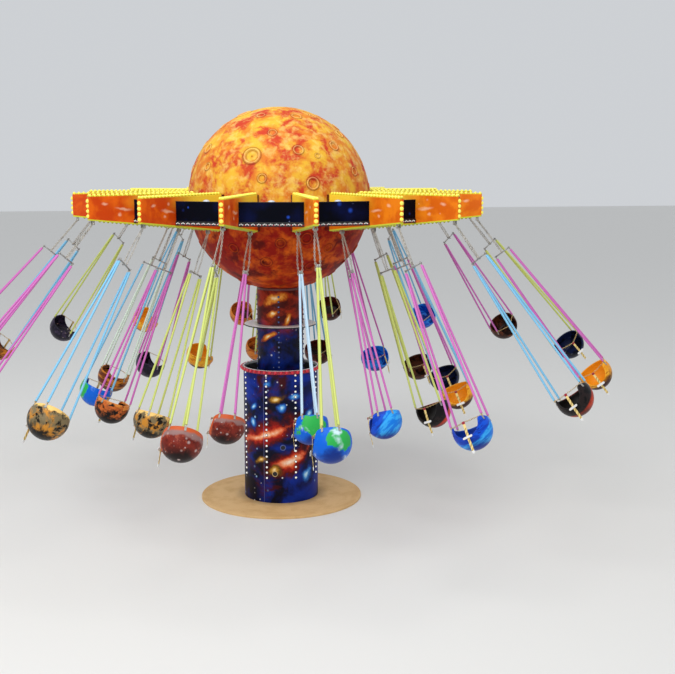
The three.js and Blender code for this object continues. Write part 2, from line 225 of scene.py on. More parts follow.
class Paint:
    """A finish being mixed: most calls add a node and return the socket that carries on."""

    def __init__(self, name, specular=None, **settings):
        self.material = bpy.data.materials.new(name)
        self.material.use_nodes = True
        self.tree = self.material.node_tree
        self.shader = next(n for n in self.tree.nodes if n.type == "BSDF_PRINCIPLED")
        for socket, value in settings.items():
            self.set(socket.replace("_", " ").title(), value)
        if specular is not None:
            self.set("Specular IOR Level", specular)

    def set(self, socket, value):
        target = self.shader.inputs[socket]
        if isinstance(value, bpy.types.NodeSocket):
            self.tree.links.new(value, target)
        elif target.type == "RGBA" and isinstance(value, int):
            target.default_value = linear(value)
        else:
            target.default_value = value

    def node(self, kind, inputs, **settings):
        return add_node(self.tree, kind, inputs, **settings)

    def done(self, colour):
        self.set("Base Color", colour)
        return self.material

    def place(self):
        return self.node("ShaderNodeTexCoord", {}).outputs["Object"]

    def kept(self, name):
        return self.node("ShaderNodeAttribute", {}, attribute_name=name)

    def maths(self, operation, *values):
        return self.node("ShaderNodeMath", dict(enumerate(values)), operation=operation).outputs[0]

    def plus(self, first, second):
        return self.maths("ADD", first, second)

    def less(self, first, second):
        return self.maths("SUBTRACT", first, second)

    def times(self, first, second):
        return self.maths("MULTIPLY", first, second)

    def vectors(self, operation, first, second=(0, 0, 0)):
        made = self.node("ShaderNodeVectorMath", {0: first, 1: second}, operation=operation)
        return made.outputs["Vector" if operation == "ADD" else "Value"]

    def parts(self, vector):
        made = self.node("ShaderNodeSeparateXYZ", {0: vector})
        return made.outputs[0], made.outputs[1], made.outputs[2]

    def vector(self, x, y, z):
        return self.node("ShaderNodeCombineXYZ", {0: x, 1: y, 2: z}).outputs[0]

    def out_from_axis(self, x, y):
        return self.maths("SQRT", self.plus(self.times(x, x), self.times(y, y)))

    def stretch(self, vector, scale, location=(0, 0, 0)):
        made = self.node("ShaderNodeMapping", {"Vector": vector, "Scale": scale, "Location": location})
        return made.outputs[0]

    def cloud(self, vector, scale, detail=3.0, rough=0.55, warp=0.0):
        return self.node("ShaderNodeTexNoise", {
            "Vector": vector, "Scale": scale, "Detail": detail, "Roughness": rough, "Distortion": warp,
        }).outputs["Fac"]

    def ease(self, value, low, high):
        """Nought below low, one above high, smooth between. It runs down where low is above high."""
        return self.node("ShaderNodeMapRange", {
            "Value": value, "From Min": low, "From Max": high, "To Min": 0.0, "To Max": 1.0,
        }, interpolation_type="SMOOTHSTEP").outputs[0]

    def mix(self, share, first, second):
        made = self.node("ShaderNodeMix", {"Factor": share}, data_type="RGBA")
        for index, value in ((6, first), (7, second)):
            if isinstance(value, bpy.types.NodeSocket):
                self.tree.links.new(value, made.inputs[index])
            else:
                made.inputs[index].default_value = linear(value)
        return made.outputs[2]

    def bumps(self, height, strength=0.4, depth=0.01):
        made = self.node("ShaderNodeBump", {"Height": height, "Strength": strength, "Distance": depth})
        self.set("Normal", made.outputs[0])

    def stars(self, vector, scale, size, share):
        """Round specks: one where a cell's random shade is under the share."""
        made = self.node("ShaderNodeTexVoronoi", {"Vector": vector, "Scale": scale, "Randomness": 1.0})
        shade = self.parts(made.outputs["Color"])
        chosen = self.ease(shade[0], share, share - 0.02)
        width = self.times(shade[1], size)
        return self.times(chosen, self.ease(made.outputs["Distance"], width, 0.0))

    def far_from(self, across, up, start, end, width, wobble=None):
        """Nought in the middle of a long oval on an unrolled wall, and one on its outline."""
        middle = [(a + b) / 2 for a, b in zip(start, end)]
        slope = math.atan2(end[1] - start[1], end[0] - start[0])
        half = math.dist(start, end) / 2
        x = self.less(across, middle[0])
        z = self.less(up, middle[1])
        along = self.plus(self.times(x, math.cos(slope)), self.times(z, math.sin(slope)))
        aside = self.less(self.times(z, math.cos(slope)), self.times(x, math.sin(slope)))
        if wobble is not None:
            aside = self.plus(aside, wobble)
        shares = self.vector(self.maths("DIVIDE", along, half), self.maths("DIVIDE", aside, width), 0.0)
        return self.vectors("LENGTH", shares)

    def streak(self, *where):
        """A long soft oval from one point of an unrolled wall to another."""
        return self.ease(self.far_from(*where), 1.0, 0.1)


def plain_finish(name, colour, roughness, metallic=0.0, grain=30.0, wear=0.12, coat=0.0):
    """Paint, steel or plastic that only varies a little in shade and gloss."""
    paint = Paint(name, metallic=metallic, coat_weight=coat)
    place = paint.place()
    patch = paint.cloud(place, grain / 8, 4.0)
    fine = paint.cloud(place, grain, 2.0)
    dark = paint.mix(wear * 2, colour, 0x3A3630)
    paint.set("Base Color", paint.mix(paint.ease(patch, 0.55, 0.8), colour, dark))
    paint.set("Roughness", paint.plus(roughness - wear / 2, paint.times(fine, wear)))
    paint.bumps(fine, 0.15, 0.002)
    return paint.material


def lamp_finish(name, colour, glow):
    """Glossy plastic that glows a little."""
    paint = Paint(name, base_color=colour, roughness=0.22, coat_weight=0.4)
    paint.set("Emission Color", colour)
    paint.set("Emission Strength", glow)
    fine = paint.cloud(paint.place(), 90.0, 1.0)
    paint.bumps(fine, 0.1, 0.001)
    return paint.material


def lava_finish():
    """Washes of yellow, orange and red, redder and darker below the arms where the darkness is painted shade, with
    a painted highlight on the craters' rims and painted shadow round their feet.
    """
    paint = Paint("sun_lava", 0.12, roughness=0.55)
    place = paint.place()
    height = paint.parts(place)[2]
    warm = paint.cloud(place, 1.9, 6.0, 0.62, 0.3)
    hot = paint.cloud(paint.stretch(place, (1, 1, 1), (3, 1, 2)), 2.3, 6.0, 0.62, 0.3)
    fine = paint.cloud(place, 5.5, 4.0, 0.6, 0.2)
    light = paint.times(paint.ease(fine, 0.47, 0.68), 0.5)
    upper = paint.mix(paint.ease(warm, 0.38, 0.58), 0xE0802A, 0xEEB838)
    upper = paint.mix(paint.ease(hot, 0.46, 0.64), upper, 0xCC4024)
    upper = paint.mix(light, upper, 0xF8D87C)
    # Below the arms the colours are the sun's redder paint, darkened as painted shade.
    lower = paint.mix(paint.ease(warm, 0.46, 0.66), 0x901204, 0xD45E0E)
    lower = paint.mix(paint.ease(hot, 0.48, 0.64), lower, 0x5C0802)
    lower = paint.mix(light, lower, 0xD04A0C)
    rim, edge, _ = paint.parts(paint.kept("crater").outputs["Vector"])
    # The share of the lit upper colours over the shaded lower ones, by height: painted light and shade.
    lit_upper_share = paint.ease(height, 6.8, 7.2)
    colour = paint.mix(lit_upper_share, lower, upper)
    # Painted highlight on the crater rims, pale above the arms and orange below, then painted shadow round the
    # outside and inside of each rim.
    colour = paint.mix(paint.times(rim, 0.4), colour, paint.mix(lit_upper_share, 0xD0560E, 0xFFDC98))
    colour = paint.mix(paint.times(edge, 0.7), colour, paint.mix(lit_upper_share, 0x300402, 0x701E06))
    paint.bumps(paint.plus(warm, paint.times(fine, 0.5)), 0.3, 0.02)
    return paint.done(colour)


def unrolled(paint, place, radius):
    """Metres round a wall from -Y towards +X, wrapped so that the print shows twice, and the height."""
    x, y, z = paint.parts(place)
    bearing = paint.maths("ARCTAN2", x, paint.times(y, -1.0))
    wrapped = paint.maths("WRAP", bearing, PRINT_END, PRINT_START)
    return paint.times(wrapped, radius), z


def night_sky(paint, place, dark, blue, red):
    """The ground of the prints: navy and black clouds with dark red drifts."""
    drift = paint.cloud(place, 1.1, 4.0, 0.6, 0.4)
    red_drift = paint.cloud(paint.stretch(place, (1, 1, 1.6), (5, 2, 0)), 1.3, 4.0, 0.6, 0.5)
    colour = paint.mix(paint.ease(drift, 0.42, 0.66), dark, blue)
    return paint.mix(paint.ease(red_drift, 0.52, 0.68), colour, red)


def smear(paint, colour, across, up, start, end, width, wobble, fray, shades):
    """One bright oval drift, from its dull frayed edge to its pale core."""
    far = paint.far_from(across, up, start, end, width, wobble)
    far = paint.plus(far, paint.times(paint.less(0.5, fray), 1.3))
    for limit, shade in zip((1.0, 0.72, 0.42), shades):
        colour = paint.mix(paint.ease(far, limit, limit - 0.42), colour, shade)
    return colour


def smears(paint, colour, across, up, radius, wobble, fray, marks):
    """Drifts on a wall, each from one (bearing, height) to another with its width and its shades."""
    for start, end, width, shades in marks:
        start, end = ((math.radians(bearing) * radius, height) for bearing, height in (start, end))
        colour = smear(paint, colour, across, up, start, end, width, wobble, fray, shades)
    return colour


def drum_finish():
    """Night sky with two long red drifts, gold and pale blue ones, specks and a seam."""
    paint = Paint("drum_print", 0.15, roughness=0.45)
    place = paint.place()
    across, up = unrolled(paint, place, DRUM_RADIUS)
    drift = paint.less(paint.cloud(place, 1.1, 1.0), 0.5)
    wobble = paint.times(drift, 0.5)
    fray = paint.cloud(place, 5.0, 5.0, 0.6)
    colour = night_sky(paint, place, 0x03051E, 0x0A2E98, 0x400A12)
    glow = (0x4A0A0C, 0x9C1810, 0xCC3412)
    core = (0xD8522C, 0xF49C6C, 0xFFE4CC)
    amber = (0x5A3A10, 0xC89030, 0xF8E0A0)
    frost = (0x103C90, 0x3C8CD8, 0xC0ECFF)
    colour = smears(paint, colour, across, up, DRUM_RADIUS, wobble, fray, (
        ((-110, 1.4), (40, 2.08), 0.38, glow), ((-46, 0.62), (54, 1.44), 0.29, glow),
        ((-90, 1.49), (16, 1.97), 0.12, core), ((-30, 0.76), (40, 1.32), 0.12, core),
        ((-30, 2.48), (0, 2.66), 0.13, amber), ((-54, 0.98), (-28, 1.12), 0.11, amber),
        ((-30, 0.7), (-4, 0.9), 0.15, amber), ((2, 2.54), (24, 2.68), 0.13, frost),
        ((22, 0.56), (46, 0.86), 0.16, frost), ((-64, 2.3), (-48, 2.46), 0.12, frost),
        ((-16, 2.3), (2, 2.4), 0.13, frost), ((-38, 2.88), (-22, 2.96), 0.1, frost),
        ((30, 2.06), (46, 2.34), 0.12, frost), ((-64, 1.93), (-50, 2.07), 0.1, frost),
    ))
    colour = paint.mix(paint.stars(place, 4.2, 0.26, 0.4), colour, 0xA8D4FF)
    colour = paint.mix(paint.stars(place, 8.0, 0.24, 0.4), colour, 0xFFFFFF)
    seam_across = math.radians(SEAM_BEARING) * DRUM_RADIUS
    seam = paint.streak(across, up, (seam_across, -3.0), (seam_across, 6.0), 0.008)
    paint.bumps(seam, 0.4, -0.004)
    return paint.done(paint.mix(seam, colour, 0x6A70A0))


def column_finish():
    """The drum's night sky below, and fire with gold drifts above."""
    paint = Paint("column_print", 0.15, roughness=0.45)
    place = paint.place()
    across, up = unrolled(paint, place, COLUMN_RADIUS)
    drift = paint.less(paint.cloud(place, 1.6, 2.0, 0.5, 0.3), 0.5)
    wobble = paint.times(drift, 0.35)
    fray = paint.cloud(place, 6.0, 5.0, 0.6)
    low = night_sky(paint, place, 0x04051A, 0x0E2E8C, 0x3A0A1C)
    fire = paint.ease(paint.cloud(paint.stretch(place, (1, 1, 1.4)), 2.2, 4.0, 0.6, 0.4), 0.42, 0.66)
    high = paint.mix(fire, 0x4A0E08, 0xA82E10)
    ragged = paint.plus(up, paint.times(drift, 0.6))
    colour = paint.mix(paint.ease(ragged, 4.05, 4.45), low, high)
    gold = (0xB85010, 0xF0A038, 0xFFECB8)
    colour = smears(paint, colour, across, up, COLUMN_RADIUS, wobble, fray, (
        ((-66, 4.78), (24, 5.02), 0.14, gold), ((-2, 4.2), (18, 4.64), 0.09, gold),
        ((-64, 3.92), (-16, 4.16), 0.1, gold), ((-46, 4.5), (-8, 4.62), 0.07, gold),
    ))
    night = paint.ease(up, 4.3, 4.0)
    colour = paint.mix(paint.times(paint.stars(place, 7.0, 0.32, 0.5), night), colour, 0xFFFFFF)
    return paint.done(colour)


def board_finish():
    """Near-black with soft blue glints and pale specks."""
    paint = Paint("star_board_print", 0.06, roughness=0.6)
    place = paint.place()
    colour = paint.mix(paint.ease(paint.cloud(place, 1.6, 3.0), 0.45, 0.75), 0x020410, 0x060F38)
    colour = paint.mix(paint.stars(place, 3.4, 0.3, 0.75), colour, 0x2450C8)
    colour = paint.mix(paint.stars(place, 8.0, 0.16, 0.2), colour, 0xA8B8F8)
    return paint.done(colour)


def arm_finish():
    """Orange on one side, redder on the other, gold at the root and lime below, with pale comets."""
    paint = Paint("arm_paint", 0.2, roughness=0.42)
    place = paint.place()
    x, y, z = paint.parts(place)
    out = paint.out_from_axis(x, y)
    turn = paint.maths("DIVIDE", paint.maths("ARCTAN2", y, x), STEP)
    side = paint.less(turn, paint.maths("ROUND", turn))
    other = paint.ease(side, -0.001, 0.001)
    drift = paint.cloud(place, 2.6, 4.0, 0.55, 0.4)
    red = paint.mix(paint.ease(drift, 0.4, 0.65), 0xD04406, 0xEC660C)
    orange = paint.mix(paint.ease(drift, 0.4, 0.65), 0xDC6404, 0xF28410)
    colour = paint.mix(other, orange, red)
    gold = paint.times(paint.ease(out, 4.1, 2.9), paint.ease(z, 7.0, 7.24))
    colour = paint.mix(gold, colour, 0xFFDC40)
    wobble = paint.times(paint.less(paint.cloud(place, 5.0), 0.5), 0.12)
    for start, end, width in (
        ((3.72, 7.06), (4.22, 7.12), 0.045), ((4.3, 7.22), (4.5, 7.2), 0.05),
        ((4.0, 6.97), (4.12, 6.99), 0.05),
    ):
        tail = paint.streak(out, z, start, end, width, wobble)
        colour = paint.mix(paint.times(tail, 0.55), colour, 0xFFD8B8)
    colour = paint.mix(paint.times(paint.stars(place, 5.0, 0.3, 0.3), 0.6), colour, 0xFFD8C0)
    slope = (TIP_LOW - ROOT_LOW) / (ARM_TIP - ARM_ROOT)
    lowest = paint.less(z, paint.times(paint.less(out, ARM_ROOT), slope))
    colour = paint.mix(paint.ease(lowest, ROOT_LOW + 0.034, ROOT_LOW + 0.03), colour, 0xD0D43C)
    return paint.done(colour)


def foot_finish():
    """The tan foot: fine speckle, with scuffs that run round it, and painted shade darkening it next to the drum.
    """
    paint = Paint("tan_foot", roughness=0.75)
    place = paint.place()
    x, y, z = paint.parts(place)
    out = paint.out_from_axis(x, y)
    rings = paint.cloud(paint.vector(out, paint.maths("ARCTAN2", x, y), 0.0), 3.0, 4.0)
    colour = paint.mix(paint.ease(rings, 0.4, 0.7), 0xDDB67E, 0xCFA46A)
    colour = paint.mix(paint.ease(paint.cloud(place, 140.0, 2.0), 0.55, 0.75), colour, 0xEED0A0)
    # Painted shade: darker brown in a band next to the drum's base.
    near = paint.ease(out, DRUM_RADIUS + 0.3, DRUM_RADIUS)
    colour = paint.mix(paint.times(near, 0.45), colour, 0x6A5036)
    paint.bumps(paint.cloud(place, 120.0, 3.0), 0.3, 0.004)
    return paint.done(colour)


def planet_finish(name, base, patch, mark, scale, level, flat=1.0, lean=0.0, soft=0.04, patch_at=None,
                  mark_level=0.6, mark_scale=2.4, mark_soft=0.04, top=None, top_at=0.0,
                  back=None, back_at=0.0, back_patch=None, low=None, bottom_shade_at=-0.22, ragged=0.12,
                  rim=None, inner=None, specks=0.0):
    """A seat's skin: patches and marks, a ragged cap, back and a foot of painted shade, a band at the edge and its
    inside.

    patch_at gathers the patches round one point of the bowl. The seat's number makes each one differ."""
    paint = Paint(name, 0.18, roughness=0.36)
    place = paint.kept("bowl_place").outputs["Vector"]
    below, inside, _ = paint.parts(paint.kept("bowl_edge").outputs["Vector"])
    x, y, z = paint.parts(place)
    leaning = paint.times(paint.plus(z, paint.times(y, lean)), flat)
    number = paint.kept("seat_number").outputs["Fac"]
    offset = paint.vector(paint.times(number, 1.7), paint.times(number, 0.9), 0.4)
    spot = paint.vectors("ADD", paint.vector(x, y, leaning), offset)
    drift = paint.cloud(spot, scale, 4.0, 0.6, 0.4)
    stray = paint.times(paint.less(drift, 0.5), ragged * 4)
    height = paint.plus(z, stray)
    cover = drift
    if patch_at is not None:
        near = paint.less(paint.ease(paint.vectors("DISTANCE", place, patch_at), 0.38, 0.08), 0.42)
        cover = paint.plus(drift, paint.times(near, 0.4))
    colour = paint.mix(paint.ease(cover, level - soft, level + soft), base, patch)
    spots = paint.cloud(paint.stretch(spot, (1, 1, 1), (4, 7, 1)), scale * mark_scale, 3.0, 0.6, 0.3)
    colour = paint.mix(paint.ease(spots, mark_level - mark_soft, mark_level + mark_soft), colour, mark)
    if top is not None:
        colour = paint.mix(paint.ease(height, top_at - 0.03, top_at + 0.03), colour, top)
    if back is not None:
        if back_patch is not None:
            back = paint.mix(paint.ease(drift, 0.46, 0.6), back, back_patch)
        slant = paint.plus(paint.less(y, paint.times(z, 0.7)), paint.times(stray, 0.5))
        colour = paint.mix(paint.ease(slant, back_at - 0.03, back_at + 0.03), colour, back)
    # Painted shade: the bowl darkens towards its bottom in the low colour.
    if low is not None:
        colour = paint.mix(paint.ease(height, bottom_shade_at + 0.07, bottom_shade_at - 0.07), colour, low)
    if specks:
        colour = paint.mix(paint.stars(spot, 11.0, 0.5, specks), colour, 0xC8B4B0)
    if rim is not None:
        band = paint.plus(below, paint.times(stray, 0.4))
        colour = paint.mix(paint.ease(band, 0.11, 0.05), colour, rim)
    if inner is not None:
        colour = paint.mix(inside, colour, inner)
    paint.bumps(paint.cloud(spot, 30.0, 2.0), 0.06, 0.002)
    return paint.done(colour)


def strap_finish():
    """Slanting bars of light and dark yellow, by the length and width kept on the strap."""
    paint = Paint("hazard_strap", roughness=0.6)
    x, y, _ = paint.parts(paint.kept("strap_place").outputs["Vector"])
    bar = paint.maths("FRACT", paint.times(paint.plus(x, y), 12.0))
    barred = paint.times(paint.ease(bar, 0.5, 0.62), paint.ease(y, 0.12, 0.14))
    colour = paint.mix(barred, 0xF0D488, 0xB89C58)
    weave = paint.maths("SINE", paint.times(y, 1800.0))
    paint.bumps(weave, 0.2, 0.001)
    return paint.done(colour)


def chain_finish():
    """Zinc with duller patches."""
    paint = Paint("galvanised_chain", metallic=0.45, roughness=0.5)
    colour = paint.mix(paint.ease(paint.cloud(paint.place(), 9.0, 3.0), 0.45, 0.7), 0xC4BEB2, 0x8E887E)
    return paint.done(colour)


FINISH = {
    "lava": lava_finish(),
    "drum": drum_finish(),
    "column": column_finish(),
    "board": board_finish(),
    "arm": arm_finish(),
    "foot": foot_finish(),
    "chain": chain_finish(),
    "strap": strap_finish(),
    "steel": plain_finish("grey_steel", 0x9C9C9A, 0.45, 0.5),
    "dark": plain_finish("dark_interior", 0x15151A, 0.6),
    "brass": plain_finish("gilt_link", 0xD8BC84, 0.36, 0.5, 60.0),
    "white": plain_finish("white_plate", 0xE4E4E2, 0.35, 0.0, 20.0, 0.1, 0.3),
    "red": plain_finish("rim_red", 0x9C1028, 0.36, 0.0, 24.0, 0.1, 0.15),
    "gold": plain_finish("arm_lemon", 0xD8CC1E, 0.4, 0.0, 24.0, 0.06, 0.1),
    # Painted shade: the dark maroon stands for the shade at the arms' roots, where they meet the sun.
    "maroon": plain_finish("maroon_painted_root_shade", 0x5A1208, 0.4, 0.0, 24.0, 0.1, 0.3),
    "lime": plain_finish("underside_lime", 0xD0D43C, 0.4, 0.0, 24.0, 0.1, 0.1),
    "navy": plain_finish("board_edge_navy", 0x07080F, 0.5, 0.0, 24.0, 0.05),
    "yellow_lamp": lamp_finish("yellow_lamp", 0xFAF05A, 0.16),
    "lime_lamp": lamp_finish("lime_lamp", 0xA8B038, 0.05),
    "white_lamp": lamp_finish("white_lamp", 0xF4F4F0, 0.3),
    "red_lamp": lamp_finish("red_lamp", 0xC8142C, 0.1),
    "dull_lamp": lamp_finish("dull_lamp", 0x5A6AA8, 0.0),
    "dome": lamp_finish("grey_dome", 0xC4CCD6, 0.05),
    "yellow": plain_finish("yellow_sleeve", 0xCCD670, 0.45, 0.0, 14.0, 0.05),
    "pink": plain_finish("pink_sleeve", 0xD06CBC, 0.45, 0.0, 14.0, 0.05),
    "blue": plain_finish("blue_sleeve", 0x7CC0E4, 0.45, 0.0, 14.0, 0.05),
    "pale": plain_finish("pale_sleeve", 0xDDEEDC, 0.45, 0.0, 14.0, 0.05),
    "sky": plain_finish("sky_sleeve", 0xC4E0F4, 0.45, 0.0, 14.0, 0.05),
}

# Each low colour is the painted shade at the bottom of that bowl.
PLANETS = {
    "earth": planet_finish("earth_skin", 0x0464D8, 0x30B050, 0xD8F0FF, 2.0, 0.52, soft=0.03, mark_level=0.63,
                           mark_scale=1.5, mark_soft=0.1, low=0x063088, bottom_shade_at=-0.3, inner=0x0A46B4,
                           patch_at=(0.34, 0.14, -0.09)),
    "ice": planet_finish("ice_skin", 0x0A3EB8, 0x0C54D8, 0x0A3096, 3.0, 0.5, 3.0, -0.6, back=0x1480EC,
                         back_patch=0x3CB4FF, back_at=-0.05, low=0x072C8C, bottom_shade_at=-0.3, ragged=0.05,
                         inner=0x063090),
    "crust": planet_finish("crust_skin", 0x100C0E, 0x241A1A, 0x060506, 4.0, 0.55, back=0xD03C14, back_at=0.06,
                           back_patch=0x9C2410, low=0x3A0C04, bottom_shade_at=-0.34, ragged=0.05, inner=0x14100F),
    "amber": planet_finish("amber_skin", 0xF09C1C, 0xFBB834, 0xD07C10, 3.0, 0.5, 2.0, soft=0.08, low=0x3A0C06,
                           bottom_shade_at=-0.17, ragged=0.08, inner=0xF0A020),
    # The night skin's pale grey-blue marks are a painted sheen.
    "night": planet_finish("night_skin", 0x070A1A, 0x101A40, 0xA8B0C8, 3.5, 0.5, 2.0, mark_level=0.72),
    "umber": planet_finish("umber_skin", 0x3A1C10, 0x5A2C18, 0x1C0C08, 4.0, 0.5, low=0x160806, bottom_shade_at=-0.2),
    "azure": planet_finish("azure_skin", 0x0A54D0, 0x2A8CF0, 0x083090, 3.0, 0.5, 2.5, -0.5, soft=0.08,
                           low=0x06246C),
    "maroon": planet_finish("maroon_skin", 0x3C120E, 0x5C1E18, 0x1A0806, 4.0, 0.5, low=0x140605, bottom_shade_at=-0.2),
    "copper": planet_finish("copper_skin", 0xB85E1C, 0xD88030, 0x4A1E0C, 2.6, 0.5, 3.0, soft=0.07,
                            low=0x3A160A),
    "dusk": planet_finish("dusk_skin", 0x1C1828, 0x3A2E46, 0x0E0A16, 4.0, 0.5, specks=0.2),
    "banded": planet_finish("banded_skin", 0xC87A24, 0x6A3012, 0x18100E, 2.0, 0.5, 4.5, low=0x1E0E08,
                            soft=0.06),
    "ember": planet_finish("ember_skin", 0xC8662A, 0x7A3A18, 0x120A06, 5.0, 0.52, soft=0.08,
                           mark_level=0.5, mark_scale=1.3, mark_soft=0.06, top=0xE08A3C, top_at=0.09,
                           low=0x100806, bottom_shade_at=-0.2),
    "sand": planet_finish("sand_skin", 0x807050, 0xCC882E, 0x16120E, 5.5, 0.53, soft=0.07,
                          mark_level=0.56, mark_scale=1.5, mark_soft=0.05, top=0xF8CC78, top_at=0.08,
                          low=0x140E08, bottom_shade_at=-0.27, inner=0xD88A28),
    "mars": planet_finish("mars_skin", 0x80281C, 0x5A1810, 0x9A4430, 4.5, 0.52, soft=0.1, top=0x94706C,
                          top_at=-0.04, low=0x1A0606, bottom_shade_at=-0.27, ragged=0.07, rim=0xC8582A,
                          inner=0xB84818, specks=0.55),
}

# Round the ride from arm 01: the planet of both seats, then the outer and the inner sleeves
DRESS = [
    ("earth", "yellow", "sky"), ("ice", "pink", "pink"), ("crust", "blue", "yellow"),
    ("amber", "pink", "blue"), ("night", "yellow", "pink"), ("umber", "pink", "yellow"),
    ("azure", "blue", "pink"), ("maroon", "yellow", "blue"), ("copper", "pink", "yellow"),
    ("amber", "blue", "yellow"), ("dusk", "yellow", "pink"), ("banded", "blue", "pale"),
    ("earth", "pink", "blue"), ("ember", "pink", "pink"), ("sand", "blue", "yellow"),
    ("mars", "yellow", "pink"),
]


def mesh_of(name, points, faces, finishes, which=None, smooth=True, kept=None):
    """A mesh from points and faces. which gives each face's finish, and kept the vectors it keeps."""
    made = bpy.data.meshes.new(name)
    made.from_pydata([tuple(p) for p in points], [], faces)
    for finish in finishes:
        made.materials.append(finish)
    if which:
        made.polygons.foreach_set("material_index", which)
    made.polygons.foreach_set("use_smooth", [smooth] * len(made.polygons))
    for label, vectors in (kept or {}).items():
        layer = made.attributes.new(label, "FLOAT_VECTOR", "POINT")
        layer.data.foreach_set("vector", [c for v in vectors for c in v])
    made.update()
    return made


def rings_to_mesh(name, rings, finishes, which=None, smooth=True, kept=None, closed=False):
    """Skins rings of points, each counted anticlockwise seen from above, from the lowest up.

    The ends are capped, or joined to each other where closed."""
    count = len(rings[0])
    points = [p for ring in rings for p in ring]
    faces, finish = [], []
    last = len(rings) if closed else len(rings) - 1
    for i in range(last):
        low, high = i * count, ((i + 1) % len(rings)) * count
        for j in range(count):
            k = (j + 1) % count
            faces.append((low + j, low + k, high + k, high + j))
            finish.append(which[i] if which else 0)
    if not closed:
        faces.append(tuple(reversed(range(count))))
        faces.append(tuple(range(last * count, (last + 1) * count)))
        finish += [which[0], which[-1]] if which else [0, 0]
    return mesh_of(name, points, faces, finishes, finish, smooth, kept)


def circle(radius, height, sides, turn=0.0):
    return [Vector((radius * math.sin(a), -radius * math.cos(a), height))
            for a in (turn + 2 * math.pi * j / sides for j in range(sides))]


def softened(profile, radius):
    """A closed outline with each corner cut to a short round."""
    made = []
    for i, corner in enumerate(profile):
        here = Vector(corner)
        before, after = Vector(profile[i - 1]), Vector(profile[(i + 1) % len(profile)])
        size = min(radius, (before - here).length / 2.2, (after - here).length / 2.2)
        start = here + (before - here).normalized() * size
        end = here + (after - here).normalized() * size
        made += [start, (start + end + here * 2) / 4, end]
    return made


def turned_ring(name, profile, sides, finishes, which=None, soft=0.003, smooth=True):
    """A closed outline of radius and height, turned round the axis."""
    outline = softened([(r, z, 0) for r, z in profile], soft)
    rings = [circle(p.x, p.y, sides) for p in outline]
    spread = [w for w in which for _ in range(3)] if which else None
    return rings_to_mesh(name, rings, finishes, spread, smooth, closed=True)


def round_bar(path, radius, sides, finish, name="bar", kept=None):
    """A tube along a path, with flat ends."""
    rings = []
    for i, here in enumerate(path):
        ahead = (path[min(i + 1, len(path) - 1)] - path[max(i - 1, 0)]).normalized()
        aside = ahead.cross(UP if abs(ahead.z) < 0.9 else Vector((0, 1, 0))).normalized()
        other = ahead.cross(aside)
        rings.append([here + aside * radius * math.cos(a) + other * radius * math.sin(a)
                      for a in (2 * math.pi * j / sides for j in range(sides))])
    return rings_to_mesh(name, rings, [finish], kept=kept)


def slab(low, high, bevel, finish, name="slab"):
    """A block between two corners, with its edges eased."""
    bm = bmesh.new()
    bmesh.ops.create_cube(bm, size=1.0)
    size, middle = Vector(high) - Vector(low), (Vector(low) + Vector(high)) / 2
    bm.transform(Matrix.Translation(middle) @ Matrix.Diagonal((*size, 1)))
    bmesh.ops.bevel(bm, geom=bm.edges[:], offset=bevel, segments=2, affect="EDGES", profile=0.5)
    made = bpy.data.meshes.new(name)
    bm.to_mesh(made)
    bm.free()
    made.materials.append(finish)
    return made


def hoop(middle, normal, radius, wire, sides, finish, stretch=1.0):
    """A round link or ring of wire."""
    turn = Vector(normal).to_track_quat("Z", "Y").to_matrix()
    path = [Vector(middle) + turn @ Vector((radius * math.cos(a), radius * stretch * math.sin(a), 0))
            for a in (2 * math.pi * j / sides for j in range(sides))]
    rings = []
    for i, here in enumerate(path):
        ahead = (path[(i + 1) % sides] - path[i - 1]).normalized()
        up = turn @ UP
        aside = ahead.cross(up)
        rings.append([here + aside * wire * math.cos(a) + up * wire * math.sin(a)
                      for a in (2 * math.pi * j / 6 for j in range(6))])
    return rings_to_mesh("hoop", rings, [finish], closed=True)


def merged(name, meshes):
    """Several meshes as one, each with its own finishes."""
    bm = bmesh.new()
    finishes = []
    for part in meshes:
        start = len(bm.faces)
        bm.from_mesh(part)
        bm.faces.ensure_lookup_table()
        order = []
        for finish in part.materials:
            if finish not in finishes:
                finishes.append(finish)
            order.append(finishes.index(finish))
        for face in bm.faces[start:]:
            face.material_index = order[face.material_index]
    made = bpy.data.meshes.new(name)
    bm.to_mesh(made)
    bm.free()
    for finish in finishes:
        made.materials.append(finish)
    return made


def placed(mesh, matrix, swap=None):
    """A copy of a mesh, moved, with some finishes changed for others."""
    made = mesh.copy()
    made.transform(matrix)
    for i, finish in enumerate(made.materials):
        if swap and finish in swap:
            made.materials[i] = swap[finish]
    return made


def piece(name, mesh, body, slot, *nodes):
    """Puts a finished mesh in the scene on its body."""
    made = bpy.data.objects.new(name, mesh)
    mesh.name = name
    bpy.context.scene.collection.objects.link(made)
    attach(made, body)
    if nodes:
        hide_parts(*nodes)
    return made


def new_tree(name, sizes):
    """A geometry tree with a geometry input, named sizes and a finish. Returns it and its end points."""
    tree = bpy.data.node_groups.new(name, "GeometryNodeTree")
    tree.interface.new_socket("Geometry", in_out="INPUT", socket_type="NodeSocketGeometry")
    for label in sizes:
        tree.interface.new_socket(label, in_out="INPUT", socket_type="NodeSocketFloat")
    tree.interface.new_socket("Finish", in_out="INPUT", socket_type="NodeSocketMaterial")
    tree.interface.new_socket("Geometry", in_out="OUTPUT", socket_type="NodeSocketGeometry")
    return tree, tree.nodes.new("NodeGroupInput"), tree.nodes.new("NodeGroupOutput")


def finish_tree(tree, given, out, instances):
    """Makes the copies real, smooth and painted, and ends the tree with them."""
    real = add_node(tree, "GeometryNodeRealizeInstances", {0: instances})
    smooth = add_node(tree, "GeometryNodeSetShadeSmooth", {0: real.outputs[0]})
    painted = add_node(tree, "GeometryNodeSetMaterial", {
        0: smooth.outputs[0], "Material": given.outputs["Finish"]})
    tree.links.new(painted.outputs[0], out.inputs[0])
    return tree


